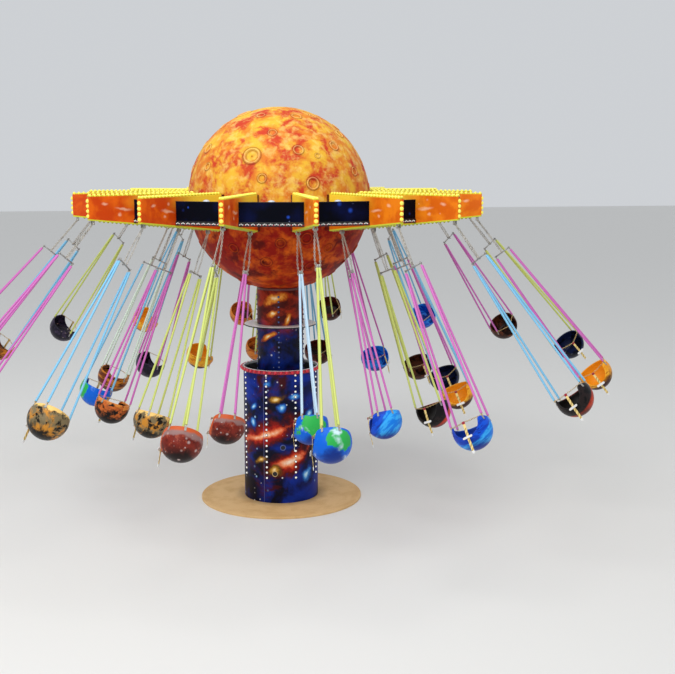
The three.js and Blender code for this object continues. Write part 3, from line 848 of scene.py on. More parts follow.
def lamp_tree():
    """A rounded lamp on each point, turned to the direction that the point keeps."""
    tree, given, out = new_tree("lamps on points", ("Lamp radius", "Lamp reach"))
    ball = add_node(tree, "GeometryNodeMeshUVSphere", {"Segments": 8, "Rings": 6, "Radius": 1.0})
    size = add_node(tree, "ShaderNodeCombineXYZ", {
        0: given.outputs["Lamp radius"], 1: given.outputs["Lamp radius"], 2: given.outputs["Lamp reach"]})
    aim = add_node(tree, "GeometryNodeInputNamedAttribute", {"Name": "aim"}, data_type="FLOAT_VECTOR")
    turn = add_node(tree, "FunctionNodeAlignRotationToVector", {"Vector": aim.outputs[0]}, axis="Z")
    copies = add_node(tree, "GeometryNodeInstanceOnPoints", {
        "Points": given.outputs[0], "Instance": ball.outputs["Mesh"],
        "Rotation": turn.outputs[0], "Scale": size.outputs[0]})
    return finish_tree(tree, given, out, copies.outputs[0])


def chain_tree():
    """Links along each path of edges, every other one turned a quarter."""
    tree, given, out = new_tree("chain along path", ("Link pitch", "Link width", "Wire radius"))
    path = add_node(tree, "GeometryNodeMeshToCurve", {0: given.outputs[0]})
    points = add_node(tree, "GeometryNodeCurveToPoints", {
        "Curve": path.outputs[0], "Length": given.outputs["Link pitch"]}, mode="LENGTH")
    longer = add_node(tree, "ShaderNodeMath", {
        0: given.outputs["Link pitch"], 1: LINK_LONGER}, operation="MULTIPLY")
    outline = add_node(tree, "GeometryNodeCurvePrimitiveQuadrilateral", {
        "Width": given.outputs["Link width"], "Height": longer.outputs[0]})
    corner = add_node(tree, "ShaderNodeMath", {
        0: given.outputs["Link width"], 1: LINK_ROUND}, operation="MULTIPLY")
    soft = add_node(tree, "GeometryNodeFilletCurve", {
        "Curve": outline.outputs[0], "Radius": corner.outputs[0], "Count": 1}, mode="POLY")
    wire = add_node(tree, "GeometryNodeCurvePrimitiveCircle", {
        "Resolution": 4, "Radius": given.outputs["Wire radius"]})
    link = add_node(tree, "GeometryNodeCurveToMesh", {0: soft.outputs[0], 1: wire.outputs[0]})
    upright = add_node(tree, "GeometryNodeTransform", {
        "Geometry": link.outputs[0], "Rotation": (math.pi / 2, 0, 0)})
    index = add_node(tree, "GeometryNodeInputIndex", {})
    quarter = add_node(tree, "ShaderNodeMath", {0: index.outputs[0], 1: math.pi / 2}, operation="MULTIPLY")
    spun = add_node(tree, "FunctionNodeAxisAngleToRotation", {
        "Axis": (0, 0, 1), "Angle": quarter.outputs[0]})
    turn = add_node(tree, "FunctionNodeRotateRotation", {0: points.outputs["Rotation"], 1: spun.outputs[0]},
                     rotation_space="LOCAL")
    copies = add_node(tree, "GeometryNodeInstanceOnPoints", {
        "Points": points.outputs[0], "Instance": upright.outputs[0], "Rotation": turn.outputs[0]})
    return finish_tree(tree, given, out, copies.outputs[0])


LAMP_TREE = lamp_tree()
CHAIN_TREE = chain_tree()


def grown(seed, tree, **inputs):
    """What a tree makes of a mesh, as a plain mesh."""
    holder = bpy.data.objects.new("holder", seed)
    bpy.context.scene.collection.objects.link(holder)
    modifier = holder.modifiers.new("grow", "NODES")
    modifier.node_group = tree
    for item in tree.interface.items_tree:
        if item.in_out == "INPUT" and item.name in inputs:
            modifier[item.identifier] = inputs[item.name]
    graph = bpy.context.evaluated_depsgraph_get()
    made = bpy.data.meshes.new_from_object(holder.evaluated_get(graph))
    bpy.data.objects.remove(holder)
    return made


def lamps(spots, radius, reach, finish):
    """Lamps at (point, direction) pairs."""
    seed = mesh_of("spots", [p for p, _ in spots], [], [], kept={"aim": [d for _, d in spots]})
    sizes = {"Lamp radius": radius, "Lamp reach": reach}
    return grown(seed, LAMP_TREE, Finish=finish, **sizes)


def socketed(spots, socket, lift, bulb, finish):
    """Bulbs lifted out of dark sockets, both as (radius, reach)."""
    sockets = lamps(spots, *socket, FINISH["dark"])
    bulbs = lamps([(spot + way * lift, way) for spot, way in spots], *bulb, FINISH[finish])
    return merged("lamps", [sockets, bulbs])


def chain(paths, pitch, width, wire, finish):
    """Chains of links along paths of points."""
    seed = bpy.data.meshes.new("paths")
    points, edges = [], []
    for path in paths:
        edges += [(len(points) + i, len(points) + i + 1) for i in range(len(path) - 1)]
        points += [tuple(p) for p in path]
    seed.from_pydata(points, edges, [])
    sizes = {"Link pitch": pitch, "Link width": width, "Wire radius": wire}
    return grown(seed, CHAIN_TREE, Finish=finish, **sizes)


def set_camera():
    bearing = math.radians(CAMERA_BEARING)
    camera = bpy.data.objects.new("camera", bpy.data.cameras.new("camera"))
    camera.data.lens = CAMERA_LENS
    camera.data.sensor_width = 36
    camera.data.sensor_fit = "HORIZONTAL"
    camera.location = (
        math.sin(bearing) * CAMERA_DISTANCE, -math.cos(bearing) * CAMERA_DISTANCE, CAMERA_HEIGHT)
    camera.rotation_euler = (math.radians(90 - CAMERA_DOWN), 0, bearing - math.radians(CAMERA_RIGHT))
    camera.data.clip_end = 400
    bpy.context.scene.collection.objects.link(camera)
    bpy.context.scene.camera = camera


def set_stage():
    paint = Paint("pale_floor", base_color=0xE4E3E0, roughness=0.85)
    corners = [(x * FLOOR_HALF, y * FLOOR_HALF, FLOOR_DEPTH) for x, y in ((-1, -1), (1, -1), (1, 1), (-1, 1))]
    floor = bpy.data.objects.new("floor", mesh_of("floor", corners, [(0, 1, 2, 3)], [paint.material]))
    bpy.context.scene.collection.objects.link(floor)


def add_area(name, spot, size, power, colour):
    light = bpy.data.objects.new(name, bpy.data.lights.new(name, "AREA"))
    light.data.size = size
    light.data.energy = power
    light.data.color = colour
    light.location = spot
    light.rotation_euler = (LIGHT_AIM - Vector(spot)).to_track_quat("-Z", "Y").to_euler()
    bpy.context.scene.collection.objects.link(light)


def set_light():
    world = bpy.data.worlds.new("soft sky")
    bpy.context.scene.world = world
    world.use_nodes = True
    sky = world.node_tree.nodes["Background"]
    sky.inputs["Color"].default_value = SKY_COLOUR
    sky.inputs["Strength"].default_value = SKY_STRENGTH
    bpy.context.scene.view_settings.view_transform = "Standard"
    for light in AREA_LIGHTS:
        add_area(*light)


def build_foot():
    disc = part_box("base_disc")
    radius, top = disc[1].x, disc[1].z
    soft = 0.012
    profile = [(NEAR_AXIS, 0), (radius, 0), (radius, top - soft), (radius - soft, top), (NEAR_AXIS, top)]
    rings = [circle(r, z, FOOT_SIDES) for r, z in profile]
    return piece("tan_foot", rings_to_mesh("foot", rings, [FINISH["foot"]], smooth=False), "base",
                 SLOTS["base_disc"], "base_disc")


def bearing_way(degrees):
    a = math.radians(degrees)
    return Vector((math.sin(a), -math.cos(a), 0))


def build_drum():
    outline = [(DRUM_RADIUS, DRUM_LOW), (DRUM_RADIUS, DRUM_TOP), (DRUM_INNER, DRUM_TOP),
               (DRUM_INNER, DRUM_LOW)]
    wall = turned_ring("wall", outline, DRUM_SIDES, [FINISH["drum"], FINISH["dark"]], [0, 1, 1, 1])
    piece("drum_skin", wall, "base", SLOTS["drum_wall"], "drum_wall")
    rows = [bearing_way(DRUM_LAMP_BEARING + 360 / DRUM_ROWS * k) for k in range(DRUM_ROWS)]
    spots = [(way * DRUM_RADIUS + UP * (DRUM_LAMP_LOW + DRUM_LAMP_STEP * i), way)
             for way in rows for i in range(DRUM_LAMPS)]
    bulbs = socketed(spots, DRUM_SOCKET, DRUM_LIFT, DRUM_BULB, "white_lamp")
    piece("drum_lamps", bulbs, "base", SLOTS["drum_wall"])


def build_rim():
    """The red rim with its lamps, and the pale edge inside it."""
    low, seat = DRUM_TOP - 0.02, DRUM_TOP + 0.001
    mouth, outside = DRUM_INNER + 0.012, DRUM_RADIUS + 0.002
    outline = [(RIM_RADIUS, low), (RIM_RADIUS, RIM_TOP), (mouth, RIM_TOP), (mouth, seat), (outside, seat),
               (outside, low)]
    rim = turned_ring("rim", outline, DRUM_SIDES, [FINISH["red"]], soft=0.006)
    lip, inner, top = DRUM_INNER + 0.02, DRUM_INNER - 0.002, RIM_TOP + 0.006
    outline = [(lip, RIM_TOP - 0.01), (lip, top), (inner, top), (inner, seat), (DRUM_INNER + 0.011, seat)]
    edge = turned_ring("edge", outline, DRUM_SIDES, [FINISH["white"]], soft=0.003)
    ways = [bearing_way(360 * k / RIM_LAMPS) for k in range(RIM_LAMPS)]
    beads = lamps([(way * RIM_RADIUS + UP * RIM_LAMP_HEIGHT, way) for way in ways], *RIM_BULB,
                  FINISH["red_lamp"])
    piece("rim_trim", merged("trim", [rim, edge, beads]), "base", SLOTS["drum_rim"], "drum_rim")


def build_ports():
    """The portholes in front, and the same ones behind."""
    ports = []
    for bearing, height, ring, glass in [(port[0] + turn, *port[1:]) for turn in (0, 180) for port in PORTS]:
        way = bearing_way(bearing)
        middle = way * (DRUM_RADIUS + 0.002) + UP * height
        ports.append(hoop(middle, way, PORT_RADIUS, 0.008, 28, FINISH[ring]))
        ports.append(lamps([(middle - way * 0.004, way)], PORT_RADIUS - 0.004, 0.006, FINISH[glass]))
    piece("drum_ports", merged("ports", ports), "base", SLOTS["drum_wall"])


def build_column():
    soft = 0.004
    profile = [(COLUMN_RADIUS - 0.03, COLUMN_LOW), (COLUMN_RADIUS, COLUMN_LOW),
               (COLUMN_RADIUS, COLUMN_TOP - soft), (COLUMN_RADIUS - soft, COLUMN_TOP),
               (NEAR_AXIS, COLUMN_TOP)]
    rings = [circle(r, z, COLUMN_SIDES) for r, z in profile]
    piece("column_skin", rings_to_mesh("column", rings, [FINISH["column"]]), "tower", SLOTS["tower_column"],
          "tower_column")
    rows = [bearing_way(COLUMN_LAMP_BEARING + 360 / COLUMN_ROWS * k) for k in range(COLUMN_ROWS)]
    spots = [(way * COLUMN_RADIUS + UP * (COLUMN_LAMP_TOP - COLUMN_LAMP_STEP * i), way)
             for way in rows for i in range(COLUMN_LAMPS)]
    bulbs = socketed(spots, COLUMN_SOCKET, COLUMN_LIFT, COLUMN_BULB, "dull_lamp")
    piece("column_lamps", bulbs, "tower", SLOTS["tower_column"])
    low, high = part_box("collar_plate")
    inner = COLUMN_RADIUS + 0.001
    outline = [(high.x, low.z), (high.x, high.z), (inner, high.z), (inner, low.z)]
    plate = turned_ring("collar", outline, COLUMN_SIDES, [FINISH["white"], FINISH["navy"]], [1, 0, 0, 0],
                        soft=0.006)
    piece("collar_skin", plate, "tower", SLOTS["collar_plate"], "collar_plate")


def all_craters():
    """The craters that show, and seeded ones for the rest, clear of each other, as (direction, radius)."""
    found = []
    for bearing, rise, radius in CRATERS_SEEN:
        way = bearing_way(bearing) * math.cos(math.radians(rise)) + UP * math.sin(math.radians(rise))
        found.append((way.normalized(), radius))
    draw = random.Random(7)
    front = bearing_way(CAMERA_BEARING)
    for _ in range(CRATER_TRIES):
        way = Vector([draw.gauss(0, 1) for _ in range(3)]).normalized()
        radius = draw.choice(CRATER_RADII)
        shown = way.dot(front) > 0.3
        clear = all((way - other).length * SUN_RADIUS > CRATER_SPREAD * (radius + size) + CRATER_GAP
                    for other, size in found)
        if not shown and clear and abs(way.z - BAND_MIDDLE) > BAND_HALF and abs(way.z) < POLE_LIMIT:
            found.append((way, radius))
    return found


def skin_point(way, push=0.0):
    """A point of the sun's gently swelling skin, in a direction from its middle, pushed out."""
    swell = SWELL * noise.noise(way * SWELL_SCALE)
    return way * (SUN_RADIUS - SKIN_BELOW + swell + push) + UP * SUN_CENTRE


def sun_shell(name, low, high, rows, craters):
    """Part of the sun between two heights, turned in at its open ends and sunk below its craters."""
    start, end = (math.asin(max(-1, min(1, (z - SUN_CENTRE) / SUN_RADIUS))) for z in (low, high))
    rises = [start, *(start + 0.003 + (end - start - 0.006) * i / rows for i in range(rows + 1)), end]
    rings = []
    for rise in rises:
        ring = []
        for point in circle(math.cos(rise), math.sin(rise), SUN_SIDES):
            push = 0.0
            for way, radius in craters:
                share = (point - way).length * SUN_RADIUS / (radius + 0.02)
                if share < 1:
                    push -= (0.012 + CRATER_DEPTH * radius) * (1 - share ** 4)
            ring.append(skin_point(point, push))
        rings.append(ring)
    for at_end, height in ((0, low), (-1, high)):
        if abs(height - SUN_CENTRE) < SUN_RADIUS * 0.99:
            inner = [Vector((p.x * 0.985, p.y * 0.985, p.z)) for p in rings[at_end]]
            rings.insert(0 if at_end == 0 else len(rings), inner)
    return rings_to_mesh(name, rings, [FINISH["lava"]])


def bell(share, middle, width):
    """One at the middle, and less the further from it."""
    return math.exp(-((share - middle) / width) ** 2)


def crater(way, radius):
    """A thin closed cap over the skin: a sharp rim round a dish, with a dot in the middle of a large one. It keeps
    where the lava paints a highlight on the rim and painted shadow round it.
    """
    aside = way.orthogonal().normalized()
    other = way.cross(aside)
    skirt = CRATER_RINGS[0] * radius
    profile = [(0.01, -0.05, 0, 0), (skirt + 0.02, -0.03, 0, 0), (skirt + 0.04, -0.002, 0, 0),
               (skirt + 0.02, 0.001, 0, 0)]
    for share in CRATER_RINGS:
        # ridge shapes the rim and places its painted highlight; edge places painted shadow just outside and inside
        # the rim, and the same dark on a large crater's middle dot.
        ridge = bell(share, 1, 0.11)
        edge = bell(share, 1.25, 0.09) + 0.7 * bell(share, 0.78, 0.09)
        push = 0.0015 + (0.01 + 0.065 * radius) * ridge - CRATER_DEPTH * radius * max(0, 1 - share ** 4)
        if radius > LARGE_CRATER:
            dot = bell(share, 0, 0.13)
            push += 0.1 * radius * dot
            edge += dot
        profile.append((share * radius, push, ridge, edge))
    rings, marks = [], []
    for reach, push, ridge, edge in profile:
        lean = reach / SUN_RADIUS
        for j in range(CRATER_SIDES):
            a = 2 * math.pi * j / CRATER_SIDES
            spot = way * math.cos(lean) + (aside * math.cos(a) + other * math.sin(a)) * math.sin(lean)
            rings.append(skin_point(spot, push))
            marks.append((ridge, edge, 0))
    rings = [rings[i:i + CRATER_SIDES] for i in range(0, len(rings), CRATER_SIDES)]
    return rings_to_mesh("crater", rings, [FINISH["lava"]], kept={"crater": marks})


def build_sun():
    craters = all_craters()
    lower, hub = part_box("sun_lower_shell"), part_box("arm_hub_ring")
    crown = sun_shell("crown", hub[0].z, SUN_CENTRE + SUN_RADIUS * 0.99999, CROWN_ROWS, craters)
    base = sun_shell("base", lower[0].z, lower[1].z, BASE_ROWS, craters)
    above = [crater(way, radius) for way, radius in craters if way.z > 0]
    below = [crater(way, radius) for way, radius in craters if way.z < 0]
    piece("sun_crown", merged("crown", [crown, *above]), "head", SLOTS["sun_upper_shell"], "sun_upper_shell",
          "arm_hub_ring")
    piece("sun_base", merged("base", [base, *below]), "head", SLOTS["sun_lower_shell"], "sun_lower_shell")


def build_roots():
    """The dark maroon blocks between the arms' roots and the sun, a painted shade for the gap there, and the plain
    ring and mast behind them.
    """
    reach = Vector((0.085, 0.07, (ROOT_HIGH - ROOT_LOW) / 2 - 0.004))
    middle = Vector((ARM_ROOT - reach.x, 0, (ROOT_HIGH + ROOT_LOW) / 2))
    root = slab(middle - reach, middle + reach, 0.006, FINISH["maroon"])
    roots = [placed(root, Matrix.Rotation(i * STEP, 4, "Z")) for i in range(ARMS)]
    piece("arm_roots", merged("roots", roots), "head", SLOTS["arm_hub_ring"])
    # The slew ring gets the same dark maroon as the roots' painted shade.
    frame["nodes"]["slew_ring"].data.materials[0] = FINISH["maroon"]
    frame["nodes"]["guide_mast"].data.materials[0] = FINISH["steel"]


def edge_height(out, root, tip):
    """The height of an arm's edge, this far out."""
    return root + (tip - root) * (out - ARM_ROOT) / (ARM_TIP - ARM_ROOT)


def arm_block(corners, half, bevel, finishes, sides):
    """An outline of length and height made thick, with a finish for its two faces and one for each side."""
    bm = bmesh.new()
    front, back = ([bm.verts.new((x, y, z)) for x, z in corners] for y in (half, -half))
    bm.faces.new(front[::-1])
    bm.faces.new(back)
    for i in range(4):
        k = (i + 1) % 4
        face = bm.faces.new((front[i], front[k], back[k], back[i]))
        face.material_index = sides[i]
    bmesh.ops.bevel(bm, geom=bm.edges[:], offset=bevel, segments=2, affect="EDGES", profile=0.5)
    bmesh.ops.recalc_face_normals(bm, faces=bm.faces[:])
    made = bpy.data.meshes.new("arm block")
    bm.to_mesh(made)
    bm.free()
    for finish in finishes:
        made.materials.append(FINISH[finish])
    return made


def arm_shape():
    """One arm along +X: its box, the lemon bar along the top, and the forks with their pins."""
    corners = [(ARM_ROOT, ROOT_LOW), (ARM_TIP, TIP_LOW), (ARM_TIP, TIP_HIGH), (ARM_ROOT, ROOT_HIGH)]
    # The root end of the box is dark maroon: painted shade where the arm meets the sun.
    box = arm_block(corners, ARM_THICK / 2, 0.006, ("arm", "gold", "lime", "maroon"), (2, 0, 1, 3))
    root, tip = ROOT_HIGH - BAR_SUNK, TIP_HIGH - BAR_SUNK
    corners = [(ARM_ROOT, root), (ARM_TIP, tip), (ARM_TIP, tip + BAR_RISE), (ARM_ROOT, root + BAR_RISE)]
    parts = [box, arm_block(corners, BAR_HALF, BAR_ROUND, ("gold",), (0, 0, 0, 0))]
    for name in LENGTH:
        pin = Vector(JOINTS[f"{name}_swing_01"]["pos_m"])
        out = -pin.y
        for side in (-1, 1):
            low = (out - FORK_HALF, side * FORK_APART - FORK_THICK / 2, pin.z + FORK_LOW)
            high = (out + FORK_HALF, side * FORK_APART + FORK_THICK / 2, pin.z + FORK_HIGH)
            parts.append(slab(low, high, 0.003, FINISH["steel"]))
        ends = [Vector((out, y, pin.z)) for y in (-PIN_HALF, PIN_HALF)]
        parts.append(round_bar(ends, PIN_RADIUS, 12, FINISH["steel"]))
        parts += [round_bar([Vector((out, y, pin.z)) for y in ends], NUT_RADIUS, 6, FINISH["chain"])
                  for ends in ((-NUT_END, -NUT_START), (NUT_START, NUT_END))]
    return merged("arm", parts)


def arm_lamp_spots():
    """Two rows of lamps along the top, one down the tip, and one below that leaves the pins free."""
    top, tip, under = [], [], []
    for i in range(ARM_TOP_LAMPS):
        out = ARM_ROOT + ROW_START + (ARM_TIP - ARM_ROOT - TOP_ROW_SHORTER) * i / (ARM_TOP_LAMPS - 1)
        height = edge_height(out, ROOT_HIGH, TIP_HIGH) + TOP_LAMP_RISE
        top += [(Vector((out, side * TOP_LAMP_ASIDE, height)), UP) for side in (-1, 1)]
    for i in range(ARM_TIP_LAMPS):
        tip.append((Vector((ARM_TIP, 0, TIP_LOW + TIP_LAMP_LOW + TIP_LAMP_STEP * i)), Vector((1, 0, 0))))
    for i in range(ARM_UNDER_LAMPS):
        out = ARM_ROOT + ROW_START + (ARM_TIP - ARM_ROOT - UNDER_ROW_SHORTER) * i / (ARM_UNDER_LAMPS - 1)
        if all(abs(out + JOINTS[f"{name}_swing_01"]["pos_m"][1]) > LAMP_OFF_PIN for name in LENGTH):
            under.append((Vector((out, 0, edge_height(out, ROOT_LOW, TIP_LOW))), -UP))
    return top, tip, under


def build_arms():
    shape = arm_shape()
    top, tip, under = arm_lamp_spots()
    arm_lamps = merged("top", [lamps(top, *TOP_BULB, FINISH["yellow_lamp"]),
                               lamps(tip, *TIP_BULB, FINISH["yellow_lamp"]),
                               lamps(under, *UNDER_BULB, FINISH["lime_lamp"])])
    for i in range(ARMS):
        turn = Matrix.Rotation(i * STEP - math.pi / 2, 4, "Z")
        node = f"arm_{i + 1:02d}"
        piece(f"{node}_box", placed(shape, turn), "head", SLOTS[node], node)
        piece(f"{node}_lamps", placed(arm_lamps, turn), "head", SLOTS[node])


def board_bay():
    """The board, beam, lights and dome of one bay, in the middle of +X."""
    half = BOARD_FLAT * math.tan(STEP / 2) - ARM_THICK / 2 / math.cos(STEP / 2) - BOARD_GAP
    out = BOARD_FLAT
    board = slab((out - BOARD_THICK / 2, -half, BOARD_LOW - 0.004), (out + BOARD_THICK / 2, half, BOARD_HIGH),
                 0.004, FINISH["board"])
    trims = [slab((out - TRIM_HALF, -half, z), (out + TRIM_HALF, half, z + BOARD_EDGE), 0.003,
                  FINISH["navy"]) for z in (BOARD_LOW, BOARD_HIGH - BOARD_EDGE)]
    full = (BOARD_FLAT + BEAM_DEPTH / 2) * math.tan(STEP / 2)
    beam = slab((out - BEAM_DEPTH / 2, -full, BEAM_LOW), (out + BEAM_DEPTH / 2, full, BOARD_LOW + 0.001),
                0.004, FINISH["navy"])
    out_way = Vector((1, 0, 0))
    spots = {"white_lamp": [], "red_lamp": []}
    for i in range(BOARD_LAMPS):
        y = -half + LIGHT_INSET + (2 * half - 2 * LIGHT_INSET) * i / (BOARD_LAMPS - 1)
        lift = LIGHT_WAVE * math.sin(i * math.pi / 2)
        spot = Vector((out + BEAM_DEPTH / 2, y, (BEAM_LOW + BOARD_LOW) / 2 + lift))
        spots["red_lamp" if i % 4 == 3 else "white_lamp"].append((spot, out_way))
    lights = [lamps(found, *BOARD_BULB, FINISH[kind]) for kind, found in spots.items()]
    inside = Vector((out - BOARD_THICK / 2 - POST_BACK, 0, 0))
    post = round_bar([inside + UP * POST_LOW, inside + UP * POST_HIGH], POST_RADIUS, 20, FINISH["steel"])
    brace = slab((out - BRACE_REACH, -BRACE_HALF, POST_LOW - BRACE_BELOW),
                 (out - BOARD_THICK / 2 + 0.002, BRACE_HALF, POST_LOW + BRACE_ABOVE), 0.003, FINISH["steel"])
    dome = lamps([(inside + UP * (POST_HIGH - 0.002), UP)], *BOARD_DOME, FINISH["dome"])
    ribs = [slab((out - RIB_BACK, y - RIB_HALF, BOARD_LOW),
                 (out - RIB_FRONT, y + RIB_HALF, BOARD_HIGH - 0.02), 0.002, FINISH["steel"])
            for y in (-half * RIB_SHARE, half * RIB_SHARE)]
    return merged("bay", [board, *trims, beam, *lights, post, brace, dome, *ribs])


def build_boards():
    bay = board_bay()
    bays = [placed(bay, Matrix.Rotation((i + 0.5) * STEP - math.pi / 2, 4, "Z")) for i in range(ARMS)]
    piece("star_boards", merged("boards", bays), "head", SLOTS["star_board_ring"], "star_board_ring")


def bite_point(turn):
    """A point of the front edge, where a steep plane bites the globe. It is lowest at no turn."""
    way = Vector((0, -math.cos(BITE_TILT), math.sin(BITE_TILT)))
    down = Vector((0, -math.sin(BITE_TILT), -math.cos(BITE_TILT)))
    reach = math.sqrt(BOWL_RADIUS ** 2 - BITE_REACH ** 2)
    return way * BITE_REACH + reach * (down * math.cos(turn) + Vector((math.sin(turn), 0, 0)))


def bowl_edge():
    """The bowl's edge as points on the globe: the bite in front, then the level rim round the back."""
    reach = math.sqrt(BOWL_RADIUS ** 2 - BITE_REACH ** 2)
    end = math.acos((BITE_REACH * math.sin(BITE_TILT) - BOWL_RIM) / (reach * math.cos(BITE_TILT)))
    edge = [bite_point(end * (i - BITE_STEPS) / BITE_STEPS) for i in range(2 * BITE_STEPS + 1)]
    corner = edge[-1]
    bearing = math.atan2(corner.x, -corner.y)
    out = math.sqrt(BOWL_RADIUS ** 2 - BOWL_RIM ** 2)
    for i in range(1, RIM_STEPS):
        a = bearing + (2 * math.pi - 2 * bearing) * i / RIM_STEPS
        edge.append(Vector((out * math.sin(a), -out * math.cos(a), BOWL_RIM)))
    for _ in range(3):
        edge = [(edge[i - 1] + here * 2 + edge[(i + 1) % len(edge)]).normalized() * BOWL_RADIUS
                for i, here in enumerate(edge)]
    return edge


def bowl_shape():
    """The bucket: a round shell with a rolled edge and a dished seat pan inside.

    Each point keeps its place, how far it lies below the edge, and whether it is inside."""
    outer_steps, roll_steps, inner_steps = 16, 6, 8
    roll = BOWL_WALL / 2
    inner = BOWL_RADIUS - BOWL_WALL
    floor = math.asin(PAN_DEPTH / inner)
    lowest = -math.pi / 2 * 0.985
    edge = bowl_edge()
    columns, kept = [], []
    for j, lip in enumerate(edge):
        way = Vector((lip.x, lip.y, 0)).normalized()
        top = math.asin(lip.z / BOWL_RADIUS)
        radial = lip.normalized()
        out = radial.cross(edge[(j + 1) % len(edge)] - edge[j - 1]).normalized()
        column, notes = [], []
        for i in range(outer_steps):
            rise = lowest + (top - lowest) * i / outer_steps
            column.append(BOWL_RADIUS * (way * math.cos(rise) + UP * math.sin(rise)))
            notes.append((BOWL_RADIUS * (top - rise), 0, 0))
        for i in range(roll_steps + 1):
            a = math.pi * i / roll_steps
            bead = roll * 1.25 * (radial * math.cos(a) + out * math.sin(a))
            column.append((BOWL_RADIUS - roll) * radial + bead)
            notes.append((0, i / roll_steps, 0))
        for i in range(1, inner_steps + 1):
            rise = top + (floor - top) * i / inner_steps
            column.append(inner * (way * math.cos(rise) + UP * math.sin(rise)))
            notes.append((inner * abs(top - rise), 1, 0))
        for radius, depth in PAN_DISH:
            column.append(way * radius + UP * depth)
            notes.append((1, 1, 0))
        columns.append(column)
        kept.append(notes)
    rings = [list(ring) for ring in zip(*columns)]
    keep = [p.copy() for ring in rings for p in ring]
    edges = [note for ring in zip(*kept) for note in ring]
    return rings_to_mesh("bowl", rings, [PLANETS["earth"]], kept={"bowl_place": keep, "bowl_edge": edges})


def feet():
    """The four points of the rim that the sleeved chains end on, with their sides and ends."""
    for side in (-1, 1):
        for end in (-1, 1):
            yield Vector((side * FOOT.x, end * FOOT.y, FOOT.z)), side, end


def foot_fittings(middle, foot):
    """The lug bolted to the bowl under one chain, with its bolts and its gilt link."""
    lean = math.asin((foot.z - LUG_DROP) / BOWL_RADIUS)
    flat = Vector((foot.x, foot.y, 0)).normalized()
    way = flat * math.cos(lean) + UP * math.sin(lean)
    spot = middle + way * (BOWL_RADIUS + 0.003)
    turn = Matrix.Translation(spot) @ way.to_track_quat("X", "Z").to_matrix().to_4x4()
    lug = placed(slab(LUG_LOW, LUG_HIGH, 0.003, FINISH["steel"]), turn)
    rise = way.to_track_quat("X", "Z").to_matrix() @ UP
    heads = [(spot + way * 0.004 + rise * up, way) for up in LUG_BOLTS]
    bolts = lamps(heads, *BOLT_HEAD, FINISH["chain"])
    return [lug, bolts, hoop(spot + rise * GILT_RISE, flat.cross(UP), *GILT_LINK, 12, FINISH["brass"], 1.3)]


def lap_path(middle):
    """The lap chain, from one front foot out to the strap and back to the other."""
    half = LAP_STEPS / 2
    return [middle + Vector((
        FOOT.x * (1 - i / half), -FOOT.y - (STRAP_REACH - FOOT.y - 0.02) * (1 - abs(1 - i / half)),
        LAP_RISE - LAP_SAG * math.sin(math.pi * i / LAP_STEPS))) for i in range(LAP_STEPS + 1)]


def rigging_shape(length):
    """Chains, spreader, shackles and lap chain, as they hang straight down from the origin."""
    middle = Vector((0, 0, -length))
    spread = Vector((0, 0, -HANGER))
    hangers, tails, parts = [], [], []
    for end in (-1, 1):
        top = Vector((0, end * HANGER_APART, -HANGER_DROP))
        low = spread + Vector((0, end * HANGER_SPREAD, HANGER_RISE))
        bow = Vector((0, end * HANGER_BOW, 0))
        hangers.append([top, top.lerp(low, 0.35) + bow * 0.6, top.lerp(low, 0.7) + bow, low])
    for foot, side, end in feet():
        head = spread + Vector((side * SLEEVE_TOP_SIDE, end * SLEEVE_TOP_APART, 0))
        base = middle + foot + UP * TAIL_RISE
        along = (base - head).normalized()
        tails.append([head, head + along * TAIL_TOP])
        tails.append([base - along * TAIL_LOW, base])
        parts += foot_fittings(middle, foot)
    parts.append(chain(hangers, *HANGER_CHAIN, FINISH["chain"]))
    parts.append(chain(tails, *TAIL_CHAIN, FINISH["chain"]))
    parts.append(chain([lap_path(middle)], *LAP_CHAIN, FINISH["brass"]))
    bar = [spread + Vector((x, 0, 0)) for x in (-SPREADER_HALF, -0.07, 0.07, SPREADER_HALF)]
    parts.append(round_bar(bar, SPREADER_RADIUS, 14, FINISH["steel"]))
    cross = [spread + Vector((0, y, 0)) for y in (-CROSS_HALF, CROSS_HALF)]
    parts.append(round_bar(cross, SPREADER_RADIUS, 12, FINISH["steel"]))
    for side in (-1, 1):
        plate = spread + Vector((side * SLEEVE_TOP_SIDE, 0, 0))
        parts.append(slab(plate - SPREADER_PLATE, plate + SPREADER_PLATE, 0.004, FINISH["steel"]))
        parts.append(hoop(spread + Vector((0, side * HANGER_SPREAD, 0.022)), (1, 0, 0), *SHACKLE, 12,
                          FINISH["chain"]))
        parts.append(hoop((0, side * HANGER_APART, -HANGER_DROP), (1, 0, 0), *EYE_SHACKLE, 12,
                          FINISH["chain"]))
    return merged("rigging", parts)


def eye_shape():
    """The short tube that turns on the pin."""
    return round_bar([Vector((0, y, 0)) for y in (-EYE_HALF, EYE_HALF)], EYE_RADIUS, 20, FINISH["steel"])


def sleeve_shape(length):
    """The coloured tubes over the four chains."""
    spread, middle, tubes = Vector((0, 0, -HANGER)), Vector((0, 0, -length)), []
    for foot, side, end in feet():
        head = spread + Vector((side * SLEEVE_TOP_SIDE, end * SLEEVE_TOP_APART, 0))
        base = middle + foot
        along = (base - head).normalized()
        start, stop = head + along * SLEEVE_GAP_TOP, base - along * SLEEVE_GAP_LOW
        path = [start, start + along * 0.004] + [start.lerp(stop, i / 10) for i in range(1, 10)]
        path += [stop - along * 0.004, stop]
        tubes.append(round_bar(path, SLEEVE_RADIUS, 12, FINISH["yellow"]))
    return merged("sleeves", tubes)


def outward(mesh):
    """Turns all faces of a closed mesh outwards."""
    bm = bmesh.new()
    bm.from_mesh(mesh)
    bmesh.ops.recalc_face_normals(bm, faces=bm.faces[:])
    bm.to_mesh(mesh)
    bm.free()
    return mesh


